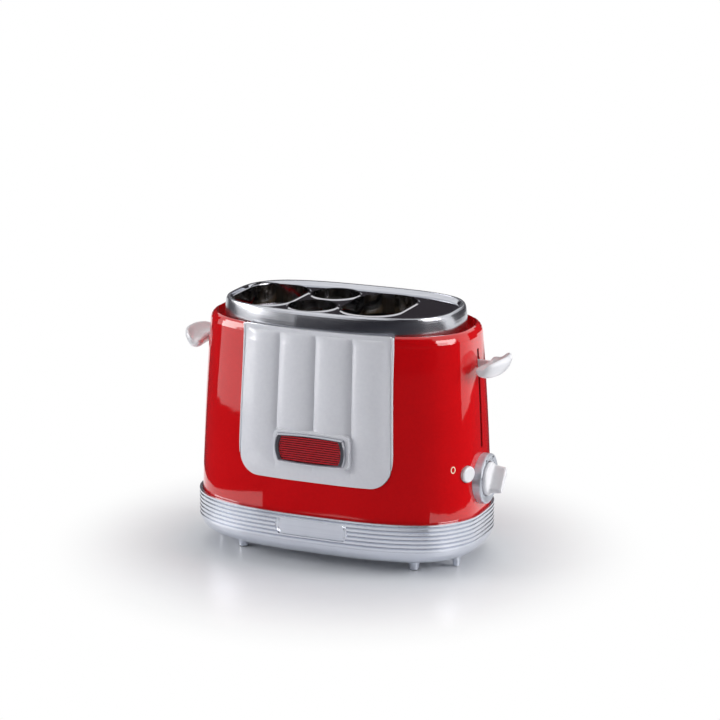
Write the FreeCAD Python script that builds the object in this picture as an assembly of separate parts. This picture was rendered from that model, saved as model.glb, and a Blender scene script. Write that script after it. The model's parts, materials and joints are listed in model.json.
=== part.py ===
"""Hot dog toaster with two bun slots, two sausage wells and a lift carriage worked from either end.

Millimetres, +Z up, origin on the ground under the middle of the body.  +X is the end with the timer
dial, -Y is the front with the fluted panel.
"""
import FreeCAD, Part
import math
import os

from FreeCAD import Vector

# ---------------------------------------------------------------- cooking chamber
BUN_SLOT_WIDTH = 56.0
BUN_SLOT_LENGTH = 84.0
BUN_SLOT_RADIUS = 26.0
WELL_RADIUS = 21.5
WELL_SPACING = 50.0            # between the two well centres, along Y
WELLS_X = -20.5                # middle of the cooking chamber
HEATER_WEB = 3.5               # between a well and the slot beside it
BUN_SLOT_OFFSET = WELL_RADIUS + HEATER_WEB + BUN_SLOT_WIDTH / 2
LEFT_SLOT_X = WELLS_X - BUN_SLOT_OFFSET
RIGHT_SLOT_X = WELLS_X + BUN_SLOT_OFFSET
CHAMBER_LEFT_ROOM = 5.1        # from a bun slot to the chamber's wall
CHAMBER_RIGHT_ROOM = 6.1
CHAMBER_SIDE_ROOM = 5.4
CHAMBER_LEFT_X = LEFT_SLOT_X - BUN_SLOT_WIDTH / 2 - CHAMBER_LEFT_ROOM
CHAMBER_RIGHT_X = RIGHT_SLOT_X + BUN_SLOT_WIDTH / 2 + CHAMBER_RIGHT_ROOM
CHAMBER_HALF_WIDTH = BUN_SLOT_LENGTH / 2 + CHAMBER_SIDE_ROOM
CHAMBER_CORNER = 26.0

# ---------------------------------------------------------------- painted shell
SHELL_SEAT_Z = 46.5            # bottom edge, on the ledge inside the base
LEFT_END_ROOM = 26.4           # from the chamber out to the shell, for the carriage
SIDE_ROOM = 27.6
SHELL_HALF_LENGTH = LEFT_END_ROOM - CHAMBER_LEFT_X  # at the bottom edge
SHELL_HALF_WIDTH = SIDE_ROOM + CHAMBER_HALF_WIDTH
SHELL_SIDE_TOP_Z = 205.0       # where the side ends and the lip begins
LIP_HEIGHT = 10.0
SHELL_LIP_Z = SHELL_SIDE_TOP_Z + LIP_HEIGHT
LENGTH_TAPER = 3.6             # straight part of the taper in half-length
LENGTH_CROWN = 3.8             # curved part of it
WIDTH_TAPER = 1.2
WIDTH_CROWN = 7.6
LIP_END_INSET = 13.0
LIP_SIDE_INSET = 10.1
LIP_HALF_LENGTH = SHELL_HALF_LENGTH - LIP_END_INSET  # inner edge of the lip
LIP_HALF_WIDTH = SHELL_HALF_WIDTH - LIP_SIDE_INSET
SHELL_WALL = 2.5
SQUARE_BOTTOM = 2.8            # superellipse exponents
SQUARE_TOP = 2.65
SQUARE_LIP = 2.5
DECK_DEPTH = 7.8
DECK_Z = SHELL_LIP_Z - DECK_DEPTH  # inner deck that carries the top plate
DECK_THICKNESS = 2.2

# ---------------------------------------------------------------- top plate
PLATE_END_GAP = 8.5            # from the shell's lip to the plate
PLATE_SIDE_GAP = 0.7
PLATE_HALF_LENGTH = LIP_HALF_LENGTH - PLATE_END_GAP
PLATE_HALF_WIDTH = LIP_HALF_WIDTH - PLATE_SIDE_GAP
PLATE_SKIRT_Z = DECK_Z
DECK_END_LAP = 3.9             # of the plate's skirt over the deck's opening
DECK_SIDE_LAP = 6.6
DECK_OPENING_LENGTH = PLATE_HALF_LENGTH - DECK_END_LAP
DECK_OPENING_WIDTH = PLATE_HALF_WIDTH - DECK_SIDE_LAP
SKIRT_HEIGHT = 7.5
RIM_HEIGHT = 15.1
FLAT_DEPTH = 3.2               # of the flat under the crest of the rim
FLAT_END_INSET = 7.7
FLAT_SIDE_INSET = 11.6
PLATE_SHOULDER_Z = PLATE_SKIRT_Z + SKIRT_HEIGHT
CREST_Z = PLATE_SHOULDER_Z + RIM_HEIGHT
CREST_INSET = 5.6              # from the skirt to the crest of the rim
FLAT_Z = CREST_Z - FLAT_DEPTH
FLAT_HALF_LENGTH = PLATE_HALF_LENGTH - FLAT_END_INSET
FLAT_HALF_WIDTH = PLATE_HALF_WIDTH - FLAT_SIDE_INSET
RIM_LAND = 1.4                 # from the crest to the top of the inner slope
PLATE_SHEET = 1.2
SKIRT_SQUARE = 2.45            # superellipse exponents
CREST_SQUARE = 3.15
FLAT_SQUARE = 2.95
SINK_SQUARE = 3.0
SINK_DROP = 0.3                # of the top of the inner slope under the crest
CUT_RISE = 2.0                 # of cutting forms above the crest
COLLAR_DEPTH = 17.0            # of the rings in the openings, below the flat
COLLAR_SHEET = 1.2
COLLAR_SEAT = 0.05             # round a ring in the plate
BEAD_LAP = 1.1                 # of a ring's bead over the flat
BEAD_RISE = 0.8

# ---------------------------------------------------------------- front panel
PANEL_TOP_HALF_WIDTH = 68.8
PANEL_SIDE_SLOPE = 0.030       # growth of the half-width per millimetre down
PANEL_LIP = 0.4                # of the panel above the shell's lip
PANEL_TOP_Z = SHELL_LIP_Z + PANEL_LIP
PANEL_BOTTOM_Z = 80.0
PANEL_CORNER = 19.0
PANEL_PROUD = 1.0
PANEL_WALL = 2.4
PANEL_GAP = 0.15               # round the panel in the shell's notch
NOTCH_DEPTH = 20.0
NOTCH_BACK_Y = SHELL_HALF_WIDTH - NOTCH_DEPTH  # how far in the shell's notch is cut, the deck apart
FLUTE_COUNT = 4
FLUTE_DEPTH = 4.2
FLUTE_SINK = 1.8               # how far the creases lie under the panel's own surface
FLUTE_FOOT_Z = PANEL_BOTTOM_Z + 6.0
FLUTE_FULL_Z = FLUTE_FOOT_Z + 20.0
FLUTE_END_Z = PANEL_TOP_Z - 3.9
FLUTE_DOME_Z = FLUTE_END_Z - 11.5

# ---------------------------------------------------------------- badge
BADGE_HEIGHT = 30.5            # of the badge over the panel's foot
BADGE_Z = PANEL_BOTTOM_Z + BADGE_HEIGHT
PAD_HALF_WIDTH = 38.5
PAD_HALF_HEIGHT = 17.5
PAD_CORNER = 8.5
PAD_RISE = 4.0
PAD_DRAFT = 3.0                # taper of the pad's edge
BADGE_FLOOR = 3.2              # depth of the badge's pocket in the pad
BADGE_SETBACK = 2.2            # how far the shell's taper sets the badge back
BEZEL_HALF_WIDTH = 34.0
BEZEL_CORNER_HALF_WIDTH = 31.5
BEZEL_HALF_HEIGHT = 13.7
BEZEL_CORNER_HALF_HEIGHT = 12.4
BEZEL_SIDE = 4.2
BEZEL_EDGE = 1.8
BEZEL_RISE = 2.6
RIB_PITCH = 2.05
RIB_HEIGHT = 0.9
BEZEL_CROWN = 1.2
INSERT_RISE = 0.8
BADGE_FIT = 0.1

# ---------------------------------------------------------------- base
BAND_END_STEP = 2.6            # of the band out from the shell
BAND_SIDE_STEP = 3.6
BASE_HALF_LENGTH = SHELL_HALF_LENGTH + BAND_END_STEP
BASE_HALF_WIDTH = SHELL_HALF_WIDTH + BAND_SIDE_STEP
BASE_SQUARE = 2.85
BAND_LIP = 3.2                 # of the band above the shell's seat
BAND_TOP_Z = SHELL_SEAT_Z + BAND_LIP
GROOVE_PITCH = 3.85
GROOVE_COUNT = 6
GROOVE_DEPTH = 1.3
GROOVE_HALF = 0.9              # half-height of a groove's mouth
GROOVE_TOP_Z = BAND_TOP_Z - 2.5
BASE_WALL = 2.6
SHELL_GAP = 0.45               # between the shell and the lip of the base
TURN_DROP = 14.5               # height of the rounded turn under the band
TURN_INSET = 21.0
BASE_FLOOR = 2.4
BASE_TURN_END = 80             # degrees of the rounded turn, where the flat underside begins
LEDGE_DEPTH = 3.0              # height of the ring that the shell stands on
LEDGE_WIDTH = 1.0              # how far it reaches in past the shell's wall
PLATE_MID_HALF = 34.5          # name plate, at its bowed ends
PLATE_CORNER_HALF = 31.2
NAME_HEIGHT = 15.0
PLATE_TOP_Z = GROOVE_TOP_Z - 2.0
PLATE_BOTTOM_Z = PLATE_TOP_Z - NAME_HEIGHT
PLATE_THICKNESS = 1.4
PLATE_POCKET = 1.5

# ---------------------------------------------------------------- underside
COVER_END_INSET = 43.6         # from the base's reach to the cover
COVER_HALF_LENGTH = BASE_HALF_LENGTH - COVER_END_INSET
COVER_CORNER = 14.0
COVER_THICKNESS = 2.0
COVER_GAP = 0.3
FOOT_END_INSET = 52.0
FOOT_SIDE_INSET = 37.8
FOOT_X = BASE_HALF_LENGTH - FOOT_END_INSET
FOOT_Y = BASE_HALF_WIDTH - FOOT_SIDE_INSET
FOOT_TOP_RADIUS = 6.0
FOOT_BOTTOM_RADIUS = 4.6
COVER_HALF_WIDTH = FOOT_Y - FOOT_TOP_RADIUS - 0.8
PAD_HEIGHT = 1.0
PROP_END_INSET = 20.6
PROP_X = BASE_HALF_LENGTH - PROP_END_INSET
PROP_Y = -18.0
PROP_TOP_RADIUS = 4.2
PROP_BOTTOM_RADIUS = 3.1
SCREW_HEAD_RADIUS = 3.2
SCREW_HEAD_HEIGHT = 1.6
SCREW_INSET = 8.0              # from the cover's edges
SCREW_DEPTH = 5.0
VENT_COUNT = 7
VENT_PITCH = 8.0
VENT_HALF_LENGTH = 14.0
VENT_HALF_WIDTH = 1.5
COVER_LAP = 3.0                # of the cover over the base's floor

# ---------------------------------------------------------------- crumb tray
TRAY_Z = 27.4
TRAY_HEIGHT = 9.0
TRAY_SHEET = 0.8
TRAY_INSET = 8.6               # of the tray under the chamber
TRAY_LEFT_X = CHAMBER_LEFT_X + TRAY_INSET
TRAY_RIGHT_X = CHAMBER_RIGHT_X - TRAY_INSET
TRAY_FRONT_Y = 0.4 - CHAMBER_HALF_WIDTH
GRIP_DEPTH = 12.6              # of the grip piece behind the tray
TRAY_REAR_Y = BASE_HALF_WIDTH - GRIP_DEPTH
TRAY_GAP = 0.4
TRAY_HOLE_TOP_Z = TRAY_Z + TRAY_HEIGHT + 3.6
RAIL_HALF_LENGTH = 30.5
RAIL_THICKNESS = 1.8
RAIL_INSET = 28.0
RAIL_X = (TRAY_LEFT_X + RAIL_INSET, TRAY_RIGHT_X - RAIL_INSET)
GRIP_GROOVE_HALF = 28.0
GRIP_GROOVE_DEPTH = 3.0

# ---------------------------------------------------------------- inner frame
CHASSIS_Z = SHELL_SEAT_Z - 2.5
CHASSIS_SHEET = 1.2
CHASSIS_HALF_LENGTH = SHELL_HALF_LENGTH - 7.0
CHASSIS_HALF_WIDTH = SHELL_HALF_WIDTH - 15.0
CHASSIS_CORNER = 40.0
POST_INSET = 23.0
POST_X = CHASSIS_HALF_LENGTH - POST_INSET
POST_Y = 24.0
POST_RADIUS = 4.0
CHAMBER_TOP_Z = DECK_Z - 4.2
REFLECTOR_SHEET = 0.8
FRAME_SHEET = 1.2
FRAME_LEFT_HALF_WIDTH = CHAMBER_HALF_WIDTH - 16.4
FRAME_RIGHT_HALF_WIDTH = CHAMBER_HALF_WIDTH - 2.4
SEAT_GAP = 0.2                 # pieces of the frame, laid against each other
FRAME_FOOT = 8.0
REFLECTOR_FLANGE = 5.0
REFLECTOR_VENT_X = (WELLS_X - 29.5, WELLS_X + 30.5)
REFLECTOR_VENT_Z = (84.0, 124.0, 164.0)
REFLECTOR_VENT_HALF_LENGTH = 12.0
BAR_SLIT = 6.0                 # width of the slits that the carriage bar runs in

# ---------------------------------------------------------------- heaters and guards
HEATER_SHEET = 1.0
HEATER_BOTTOM_Z = CHASSIS_Z + 8.0
HEATER_TOP_Z = CHAMBER_TOP_Z - 5.0
HEATER_END_GAP = 2.2           # from an outer heater to the chamber's end
RIBBON_WIDTH = 2.0
RIBBON_THICKNESS = 0.4
RIBBON_ROWS = 8
RIBBON_MARGIN = 8.0
GUARD_WIRE = 0.8               # wire radius
GUARD_INSET = 1.6              # from the slot's edge to the guard's plane
GUARD_BOTTOM_Z = CHASSIS_Z + 14.0
GUARD_TOP_Z = CHAMBER_TOP_Z - 3.0
GUARD_WIRE_Y = (10.0, 30.0)
CAGE_WIRE = 0.8
CAGE_COLLAR = 8.0
CAGE_WALL = 1.0
CAGE_BOTTOM_Z = CHASSIS_Z + 14.0
CAGE_WIRES = 6
CAGE_GAP = 0.3                 # from the cage's collar to the plate's collar

# ---------------------------------------------------------------- carriage
LEVER_DROP = 23.7              # of the levers at rest, below the deck
LEVER_Z = DECK_Z - LEVER_DROP
LIFT_DOWN = 72.0               # travel of the carriage below rest
LIFT_UP = 9.0                  # extra lift above rest
BAR_THICKNESS = 1.6
BAR_HALF_HEIGHT = 6.0
BAR_Z = LEVER_Z - 33.5
ROD_RADIUS = 2.0
ROD_RUNNING = 0.06
ROD_SEAT = 0.02                # round a rod in the frame's flange
ROD_Y = 12.0
RIGHT_ROD_INSET = 33.0         # from the shell's end
LEFT_ROD_ROOM = 8.8            # from the chamber
RIGHT_ROD_X = SHELL_HALF_LENGTH - RIGHT_ROD_INSET
LEFT_ROD_X = CHAMBER_LEFT_X - LEFT_ROD_ROOM
BRACKET_SHEET = 1.5
BRACKET_DEPTH = 5.2            # from the rod's centre to the bracket's web
BRACKET_HALF_WIDTH = 16.5
BRACKET_BOTTOM_Z = BAR_Z - 12.0
BRACKET_TOP_Z = LEVER_Z + 6.5
BUN_LIFT_HALF_X = BUN_SLOT_WIDTH / 2 - 6.0
BUN_LIFT_HALF_Y = BUN_SLOT_LENGTH / 2 - 8.0
LIFT_SHEET = 1.2
WELL_LIFT_RADIUS = WELL_RADIUS - 3.5
WELL_ARM = 8.0
EAR_DEPTH = 8.0                # of the lifts' ears down the bar
EAR_SHEET = 1.0
EAR_HALF = 9.0
TONGUE_LENGTH = 9.0            # of the bracket's tongue inside the handle's neck
SPRING_Y = -6.0
SPRING_RADIUS = 2.8
SPRING_WIRE = 0.45
SPRING_TURNS = 8
SPRING_LEG = 5.0
LATCH_LENGTH = 13.0
LATCH_HALF_WIDTH = 8.0
LATCH_SHEET = 1.6
LATCH_GAP = 0.4                # from the latch plate to the magnet, carriage down

# ---------------------------------------------------------------- lever handles
SLOT_HALF_WIDTH = 2.0
SLOT_CLEARANCE = 1.0           # above and below the neck at the ends of its travel
NECK_HALF_THICKNESS = 1.4
NECK_HALF_HEIGHT = 3.6
NECK_INNER_X = SHELL_HALF_LENGTH - 12.0
TONGUE_HALF_THICKNESS = 0.6
TONGUE_HALF_HEIGHT = 2.4
TONGUE_FIT = 0.1
HANDLE_HALF_LENGTH = 25.5
HANDLE_INNER_X = SHELL_HALF_LENGTH + 2.0
HANDLE_REACH = 20.5
HANDLE_SWEEP = 6.5

# ---------------------------------------------------------------- dial and button
DIAL_Z = 79.0
RING_RADIUS = 22.6
RING_PROUD = 6.0
RING_FACE_X = SHELL_HALF_LENGTH + RING_PROUD
RING_BORE = 15.8
RING_DISH = 1.4
KNOB_RADIUS = 15.3
KNOB_FACE_X = RING_FACE_X + 2.2
KNOB_BACK_X = RING_FACE_X - 2.6
GRIP_LENGTH = 27.0
GRIP_THICKNESS = 8.0
GRIP_FACE_X = RING_FACE_X + 14.0
GRIP_ANGLE = -36.0             # turned from upright at rest
DIAL_SHAFT_RADIUS = 3.0
SHAFT_RUNNING = 0.08
SHAFT_TIP_X = RING_FACE_X + 6.0
SHAFT_INSET = 2.0              # of the shaft's inner end into the timer
TIMER_BODY_RADIUS = 8.5
TIMER_DEPTH = 9.0
TIMER_BRACKET_X = SHELL_HALF_LENGTH - 13.0
TIMER_BODY_X = TIMER_BRACKET_X - TIMER_DEPTH
TIMER_BRACKET_SHEET = 1.2
TIMER_BRACKET_HALF_WIDTH = 12.0
TIMER_BRACKET_FOOT = 8.0
BUSH_RADIUS = 4.5
BUSH_LENGTH = 3.0
BUTTON_X = SHELL_HALF_LENGTH - 4.7
BUTTON_Y = -28.6
BUTTON_Z = DIAL_Z + 11.0
BUTTON_TURN = -24.0
BUTTON_RADIUS = 7.4
BUTTON_PROUD = 3.0
BUTTON_TRAVEL = 1.6
BUTTON_GAP = 0.3
BUTTON_FLANGE = 9.0
BUTTON_FLANGE_DEPTH = 3.0      # from the shell's inner face to the flange
BUTTON_FLANGE_SHEET = 1.2
SWITCH_HALF = 6.0

# ---------------------------------------------------------------- electrics
BOARD_Y = 22.0
BOARD_THICKNESS = 1.6
BOARD_RIGHT_X = SHELL_HALF_LENGTH - 21.0
BOARD_TOP_Z = 140.0
# from the board's right edge, length, depth, from its top edge, height
BOARD_BLOCKS = [
    (20.0, 18.0, 12.0, 20.0, 16.0),
    (14.0, 22.0, 10.0, 72.0, 12.0),
    (22.0, 10.0, 4.0, 48.0, 16.0),
]
CAPACITOR = (12.0, 48.0, 5.0, 9.0)  # from the same edges, then radius and height
MAGNET_HALF_WIDTH = 8.0
MAGNET_LEG = 2.0
MAGNET_YOKE = 3.0
GLAND_X = BASE_HALF_LENGTH - 43.6
GLAND_Z = 36.0
GLAND_RADIUS = 6.5
GLAND_BORE = 3.6
GLAND_FLANGE = 7.8
GLAND_FLANGE_THICKNESS = 1.6
GLAND_LENGTH = 16.5

OVAL_POINTS = 24               # a multiple of four
SECTION_POINTS = 16
FINE_STEPS = 240
FAR = 400.0                    # beyond every face of the toaster
PAST = 1.0                     # how far a cutting tool runs past a face
SHARE = {}


# ================================================================ drawing aids
def flat(z):
    """Place plan coordinates (x, y) at height z."""
    return lambda u, v: Vector(u, v, z)


def upright(y):
    """Place elevation coordinates (x, z) in the plane at y."""
    return lambda u, v: Vector(u, y, v)


def crosswise(x):
    """Place end-view coordinates (y, z) in the plane at x."""
    return lambda u, v: Vector(x, u, v)


def superellipse(a, b, n, t):
    """Point of a superellipse at parameter t."""
    c, s = math.cos(t), math.sin(t)
    x = a * math.copysign(abs(c) ** (2 / n), c)
    y = b * math.copysign(abs(s) ** (2 / n), s)
    return x, y


def closed_curve(points):
    """Wire of one smooth closed curve through the points, evenly spaced in its parameter."""
    curve = Part.BSplineCurve()
    steps = [float(i) for i in range(len(points) + 1)]
    curve.interpolate(Points=points, PeriodicFlag=True, Parameters=steps)
    return Part.Wire([curve.toShape()])


def smooth_edge(points, ends=None):
    """Open smooth curve through the points, evenly spaced in its parameter, with any end directions."""
    curve = Part.BSplineCurve()
    steps = [float(i) for i in range(len(points))]
    if ends:
        curve.interpolate(Points=points, Parameters=steps, InitialTangent=ends[0], FinalTangent=ends[1])
    else:
        curve.interpolate(Points=points, Parameters=steps)
    return curve.toShape()


def superellipse_quarter(a, b, n):
    """Points of the first quarter of a superellipse, both ends included, evenly spaced along it."""
    fine = [superellipse(a, b, n, math.pi / 4 * (1 - math.cos(math.pi * i / FINE_STEPS)))
            for i in range(FINE_STEPS + 1)]
    run = [0.0]
    for before, after in zip(fine, fine[1:]):
        run.append(run[-1] + math.dist(before, after))
    count = OVAL_POINTS // 4
    points = []
    k = 0
    for j in range(count):
        target = run[-1] * j / count
        while run[k + 1] < target:
            k += 1
        share = (target - run[k]) / (run[k + 1] - run[k])
        points.append(tuple(p + (q - p) * share for p, q in zip(fine[k], fine[k + 1])))
    return points + [(0.0, b)]


def oval(a, b, n, z):
    """Level superellipse as a closed wire of four smooth quarters."""
    ahead = superellipse_quarter(a, b, n)
    back = ahead[::-1]
    along_x, along_y = Vector(1, 0, 0), Vector(0, 1, 0)
    turns = [(ahead, 1, 1, along_y, -along_x), (back, -1, 1, -along_x, -along_y),
             (ahead, -1, -1, -along_y, along_x), (back, 1, -1, along_x, along_y)]
    edges = []
    for points, sx, sy, leave, arrive in turns:
        edges.append(smooth_edge([Vector(sx * x, sy * y, z) for x, y in points], (leave, arrive)))
    return Part.Wire(edges)


def loft(wires, ruled=False):
    """Solid through the closed wires."""
    return Part.makeLoft(wires, True, ruled)


def upright_oval(a, b, n, z0, z1):
    """Straight-sided solid on a superellipse."""
    return loft([oval(a, b, n, z0), oval(a, b, n, z1)], True)


def rounded_outline(corners, radii, place):
    """Closed wire through 2-D corners, each turned with an arc; a radius of 0 leaves it sharp."""
    count = len(corners)
    radii = radii if isinstance(radii, (list, tuple)) else [radii] * count
    spans = []
    for i, (u, v) in enumerate(corners):
        before, after = corners[i - 1], corners[(i + 1) % count]
        toward = (u - before[0], v - before[1])
        away = (after[0] - u, after[1] - v)
        size_in, size_out = math.hypot(*toward), math.hypot(*away)
        toward = (toward[0] / size_in, toward[1] / size_in)
        away = (away[0] / size_out, away[1] / size_out)
        turn = math.acos(max(-1.0, min(1.0, toward[0] * away[0] + toward[1] * away[1])))
        cut = radii[i] * math.tan(turn / 2)
        start = (u - toward[0] * cut, v - toward[1] * cut)
        end = (u + away[0] * cut, v + away[1] * cut)
        inward = (away[0] - toward[0], away[1] - toward[1])
        reach = math.hypot(*inward) or 1.0
        lift = radii[i] * (1 / math.cos(turn / 2) - 1)
        middle = (u + inward[0] / reach * lift, v + inward[1] / reach * lift)
        spans.append((start, middle, end, radii[i] > 0))
    edges = []
    for i, (start, middle, end, turned) in enumerate(spans):
        if turned:
            edges.append(Part.Arc(place(*start), place(*middle), place(*end)).toShape())
        following = spans[(i + 1) % count][0]
        if math.hypot(following[0] - end[0], following[1] - end[1]) > 1e-6:
            edges.append(Part.LineSegment(place(*end), place(*following)).toShape())
    return Part.Wire(edges)


def bowed_outline(corner_u, corner_v, mid_u, mid_v, centre_v, place):
    """Closed wire of four shallow arcs, bowed from the corners out to the middles."""
    corners = [(-corner_u, -corner_v), (corner_u, -corner_v), (corner_u, corner_v), (-corner_u, corner_v)]
    middles = [(0, -mid_v), (mid_u, 0), (0, mid_v), (-mid_u, 0)]
    edges = []
    for i in range(4):
        ends = [corners[i], middles[i], corners[(i + 1) % 4]]
        edges.append(Part.Arc(*[place(u, centre_v + v) for u, v in ends]).toShape())
    return Part.Wire(edges)


def box_outline(half_u, half_v, radius, place, u=0.0, v=0.0):
    """Rounded rectangle about (u, v)."""
    signs = ((-1, -1), (1, -1), (1, 1), (-1, 1))
    corners = [(u + su * half_u, v + sv * half_v) for su, sv in signs]
    return rounded_outline(corners, radius, place)


def prism(wire, direction):
    """Solid swept from a closed wire along a vector."""
    return Part.Face(wire).extrude(direction)


def block(x0, x1, y0, y1, z0, z1):
    """Box between two corners, given as spans."""
    return Part.makeBox(x1 - x0, y1 - y0, z1 - z0, Vector(x0, y0, z0))


def rod(radius, start, end):
    """Round bar between two points."""
    along = end.sub(start)
    return Part.makeCylinder(radius, along.Length, start, along)


def rod_x(radius, x0, x1, y, z):
    """Round bar along X."""
    return rod(radius, Vector(x0, y, z), Vector(x1, y, z))


def rod_z(radius, x, y, z0, z1):
    """Upright round bar."""
    return rod(radius, Vector(x, y, z0), Vector(x, y, z1))


def level(outline, height):
    """Solid standing on a level outline."""
    return prism(outline, Vector(0, 0, height))


def span(side, near, far):
    """Low and high end of a stretch from near to far, on the side given by its sign."""
    return sorted((side * near, side * far))


def quarters(x, y):
    """The four plan places at plus and minus x and y."""
    return [(sx * x, sy * y) for sx in (-1, 1) for sy in (-1, 1)]


def disc_ring(outer, inner, x, y, z0, z1):
    """Upright ring or, with no inner radius, disc."""
    ring = rod_z(outer, x, y, z0, z1)
    if inner > 0:
        ring = ring.cut(rod_z(inner, x, y, z0 - PAST, z1 + PAST))
    return ring


def fused(shapes):
    """One solid of overlapping shapes."""
    return shapes[0].multiFuse(shapes[1:]).removeSplitter()


def turned_x(profile):
    """Solid of revolution about the X axis of a closed (x, r) profile."""
    wire = Part.makePolygon([Vector(x, 0, r) for x, r in profile + profile[:1]])
    return Part.Face(wire).revolve(Vector(0, 0, 0), Vector(1, 0, 0), 360)


def mirrored(shape):
    """Copy on the other side of the plane x = 0."""
    return shape.mirror(Vector(0, 0, 0), Vector(1, 0, 0))


def even_steps(low, high, count):
    """Heights from low to high in count equal steps."""
    return [low + (high - low) * i / count for i in range(count + 1)]


def shared(name, make):
    """Shape that several pieces are cut from, made once."""
    if name not in SHARE:
        SHARE[name] = make()
    return SHARE[name]


# ================================================================ shell
def shell_size(z):
    """Half-length, half-width and exponent of the shell's outside at a height below the lip."""
    t = (z - BAND_TOP_Z) / (SHELL_SIDE_TOP_Z - BAND_TOP_Z)
    a = SHELL_HALF_LENGTH - LENGTH_TAPER * t - LENGTH_CROWN * t * abs(t)
    b = SHELL_HALF_WIDTH - WIDTH_TAPER * t - WIDTH_CROWN * t * abs(t)
    return a, b, SQUARE_BOTTOM + (SQUARE_TOP - SQUARE_BOTTOM) * t


def shell_form(offset):
    """Solid bounded by the shell's outside, moved out by offset, lip included."""
    side = []
    for z in even_steps(SHELL_SEAT_Z, SHELL_SIDE_TOP_Z, 4):
        a, b, n = shell_size(z)
        side.append(oval(a + offset, b + offset, n, z))
    a, b, n = shell_size(SHELL_SIDE_TOP_Z)
    rise = SHELL_LIP_Z - SHELL_SIDE_TOP_Z
    lip = [side[-1]]
    for degrees in (14, 28, 42, 56, 70, 84):
        turn = math.radians(degrees)
        inward = 1 - math.cos(turn)
        a_here = a - (a - LIP_HALF_LENGTH) * inward + offset
        b_here = b - (b - LIP_HALF_WIDTH) * inward + offset
        n_here = n + (SQUARE_LIP - n) * inward
        lip.append(oval(a_here, b_here, n_here, SHELL_SIDE_TOP_Z + rise * math.sin(turn)))
    return loft(side).fuse(loft(lip, True))


def shell_front_y(x, z, offset=0.0):
    """Y of the shell's front surface over (x, z), moved out by offset."""
    a, b, n = shell_size(min(z, SHELL_SIDE_TOP_Z))
    a, b = a + offset, b + offset
    return -b * (1 - (abs(x) / a) ** n) ** (1 / n)


def lever_slot_span():
    """Lowest and highest point of the lever slots."""
    low = LEVER_Z - LIFT_DOWN - NECK_HALF_HEIGHT - SLOT_CLEARANCE
    high = LEVER_Z + LIFT_UP + NECK_HALF_HEIGHT + SLOT_CLEARANCE
    return low, high


def panel_outline(gap, place):
    """Front panel's outline in elevation, grown by gap: straight sides, rounded lower corners."""
    top_half = PANEL_TOP_HALF_WIDTH + gap
    bottom_half = top_half + (PANEL_TOP_Z - PANEL_BOTTOM_Z) * PANEL_SIDE_SLOPE
    top = PANEL_TOP_Z + (0 if gap <= 0 else SHELL_LIP_Z)
    bottom = PANEL_BOTTOM_Z - gap
    corners = [(-bottom_half, bottom), (bottom_half, bottom), (top_half, top), (-top_half, top)]
    return rounded_outline(corners, [PANEL_CORNER, PANEL_CORNER, 0, 0], place)


def button_axis():
    """Centre of the stop button on the shell and the way it faces."""
    turn = math.radians(BUTTON_TURN)
    return Vector(BUTTON_X, BUTTON_Y, BUTTON_Z), Vector(math.cos(turn), math.sin(turn), 0)


def outer_shell():
    """Painted shell: tapered oval, rolled lip, sunk deck, panel notch, lever slots and dial holes."""
    outside = shared("shell_outside", lambda: shell_form(0.0))
    inner = []
    for z in even_steps(SHELL_SEAT_Z - PAST, DECK_Z - DECK_THICKNESS, 4):
        a, b, n = shell_size(z)
        inner.append(oval(a - SHELL_WALL, b - SHELL_WALL, n, z))
    shape = outside.cut(loft(inner))
    recess = upright_oval(LIP_HALF_LENGTH, LIP_HALF_WIDTH, SQUARE_LIP, DECK_Z, SHELL_LIP_Z + PAST)
    opening = upright_oval(DECK_OPENING_LENGTH, DECK_OPENING_WIDTH, SQUARE_LIP,
                           SHELL_SIDE_TOP_Z - 9, SHELL_LIP_Z)
    shape = shape.cut(recess).cut(opening)
    notch = prism(panel_outline(PANEL_GAP, upright(-FAR)), Vector(0, FAR - NOTCH_BACK_Y, 0))
    shape = shape.cut(notch.cut(panel_backing()))
    low, high = lever_slot_span()
    middle = (low + high) / 2
    slot = box_outline(SLOT_HALF_WIDTH, middle - low, SLOT_HALF_WIDTH * 0.98, crosswise(-FAR), 0, middle)
    shape = shape.cut(prism(slot, Vector(2 * FAR, 0, 0)))
    shape = shape.cut(rod_x(BUSH_RADIUS + 0.5, TIMER_BRACKET_X, RING_FACE_X, 0, DIAL_Z))
    centre, facing = button_axis()
    return shape.cut(rod(BUTTON_RADIUS + BUTTON_GAP, centre - facing * 12, centre + facing * 12))


def panel_backing():
    """Solid inside the shell's lip that stays behind the panel: the deck and what carries it."""
    inset = PANEL_WALL - PANEL_PROUD
    return upright_oval(LIP_HALF_LENGTH - PANEL_WALL, LIP_HALF_WIDTH - inset, SQUARE_LIP,
                        DECK_Z - DECK_THICKNESS, DECK_Z)


# ================================================================ front panel and badge
def flute_fade(z):
    """Share of the full flute depth at a height: none at the foot, domed at the top."""
    if z <= FLUTE_FOOT_Z or z >= FLUTE_END_Z:
        return 0.0
    if z < FLUTE_FULL_Z:
        t = (z - FLUTE_FOOT_Z) / (FLUTE_FULL_Z - FLUTE_FOOT_Z)
        return t * t * (3 - 2 * t)
    if z > FLUTE_DOME_Z:
        t = (z - FLUTE_DOME_Z) / (FLUTE_END_Z - FLUTE_DOME_Z)
        return math.sqrt(max(0.0, 1 - t * t))
    return 1.0


def panel_half_width(z):
    """Half-width of the panel at a height."""
    return PANEL_TOP_HALF_WIDTH + (PANEL_TOP_Z - z) * PANEL_SIDE_SLOPE


def panel_front_y(x, z, u):
    """Y of the fluted face over (x, z); u runs 0 to 1 across the flute that x is in."""
    fade = flute_fade(z)
    bulge = FLUTE_DEPTH * math.sqrt(max(0.0, 1 - (2 * u - 1) ** 2)) ** 1.3
    return shell_front_y(x, z, PANEL_PROUD) - fade * (bulge - FLUTE_SINK)


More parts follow.
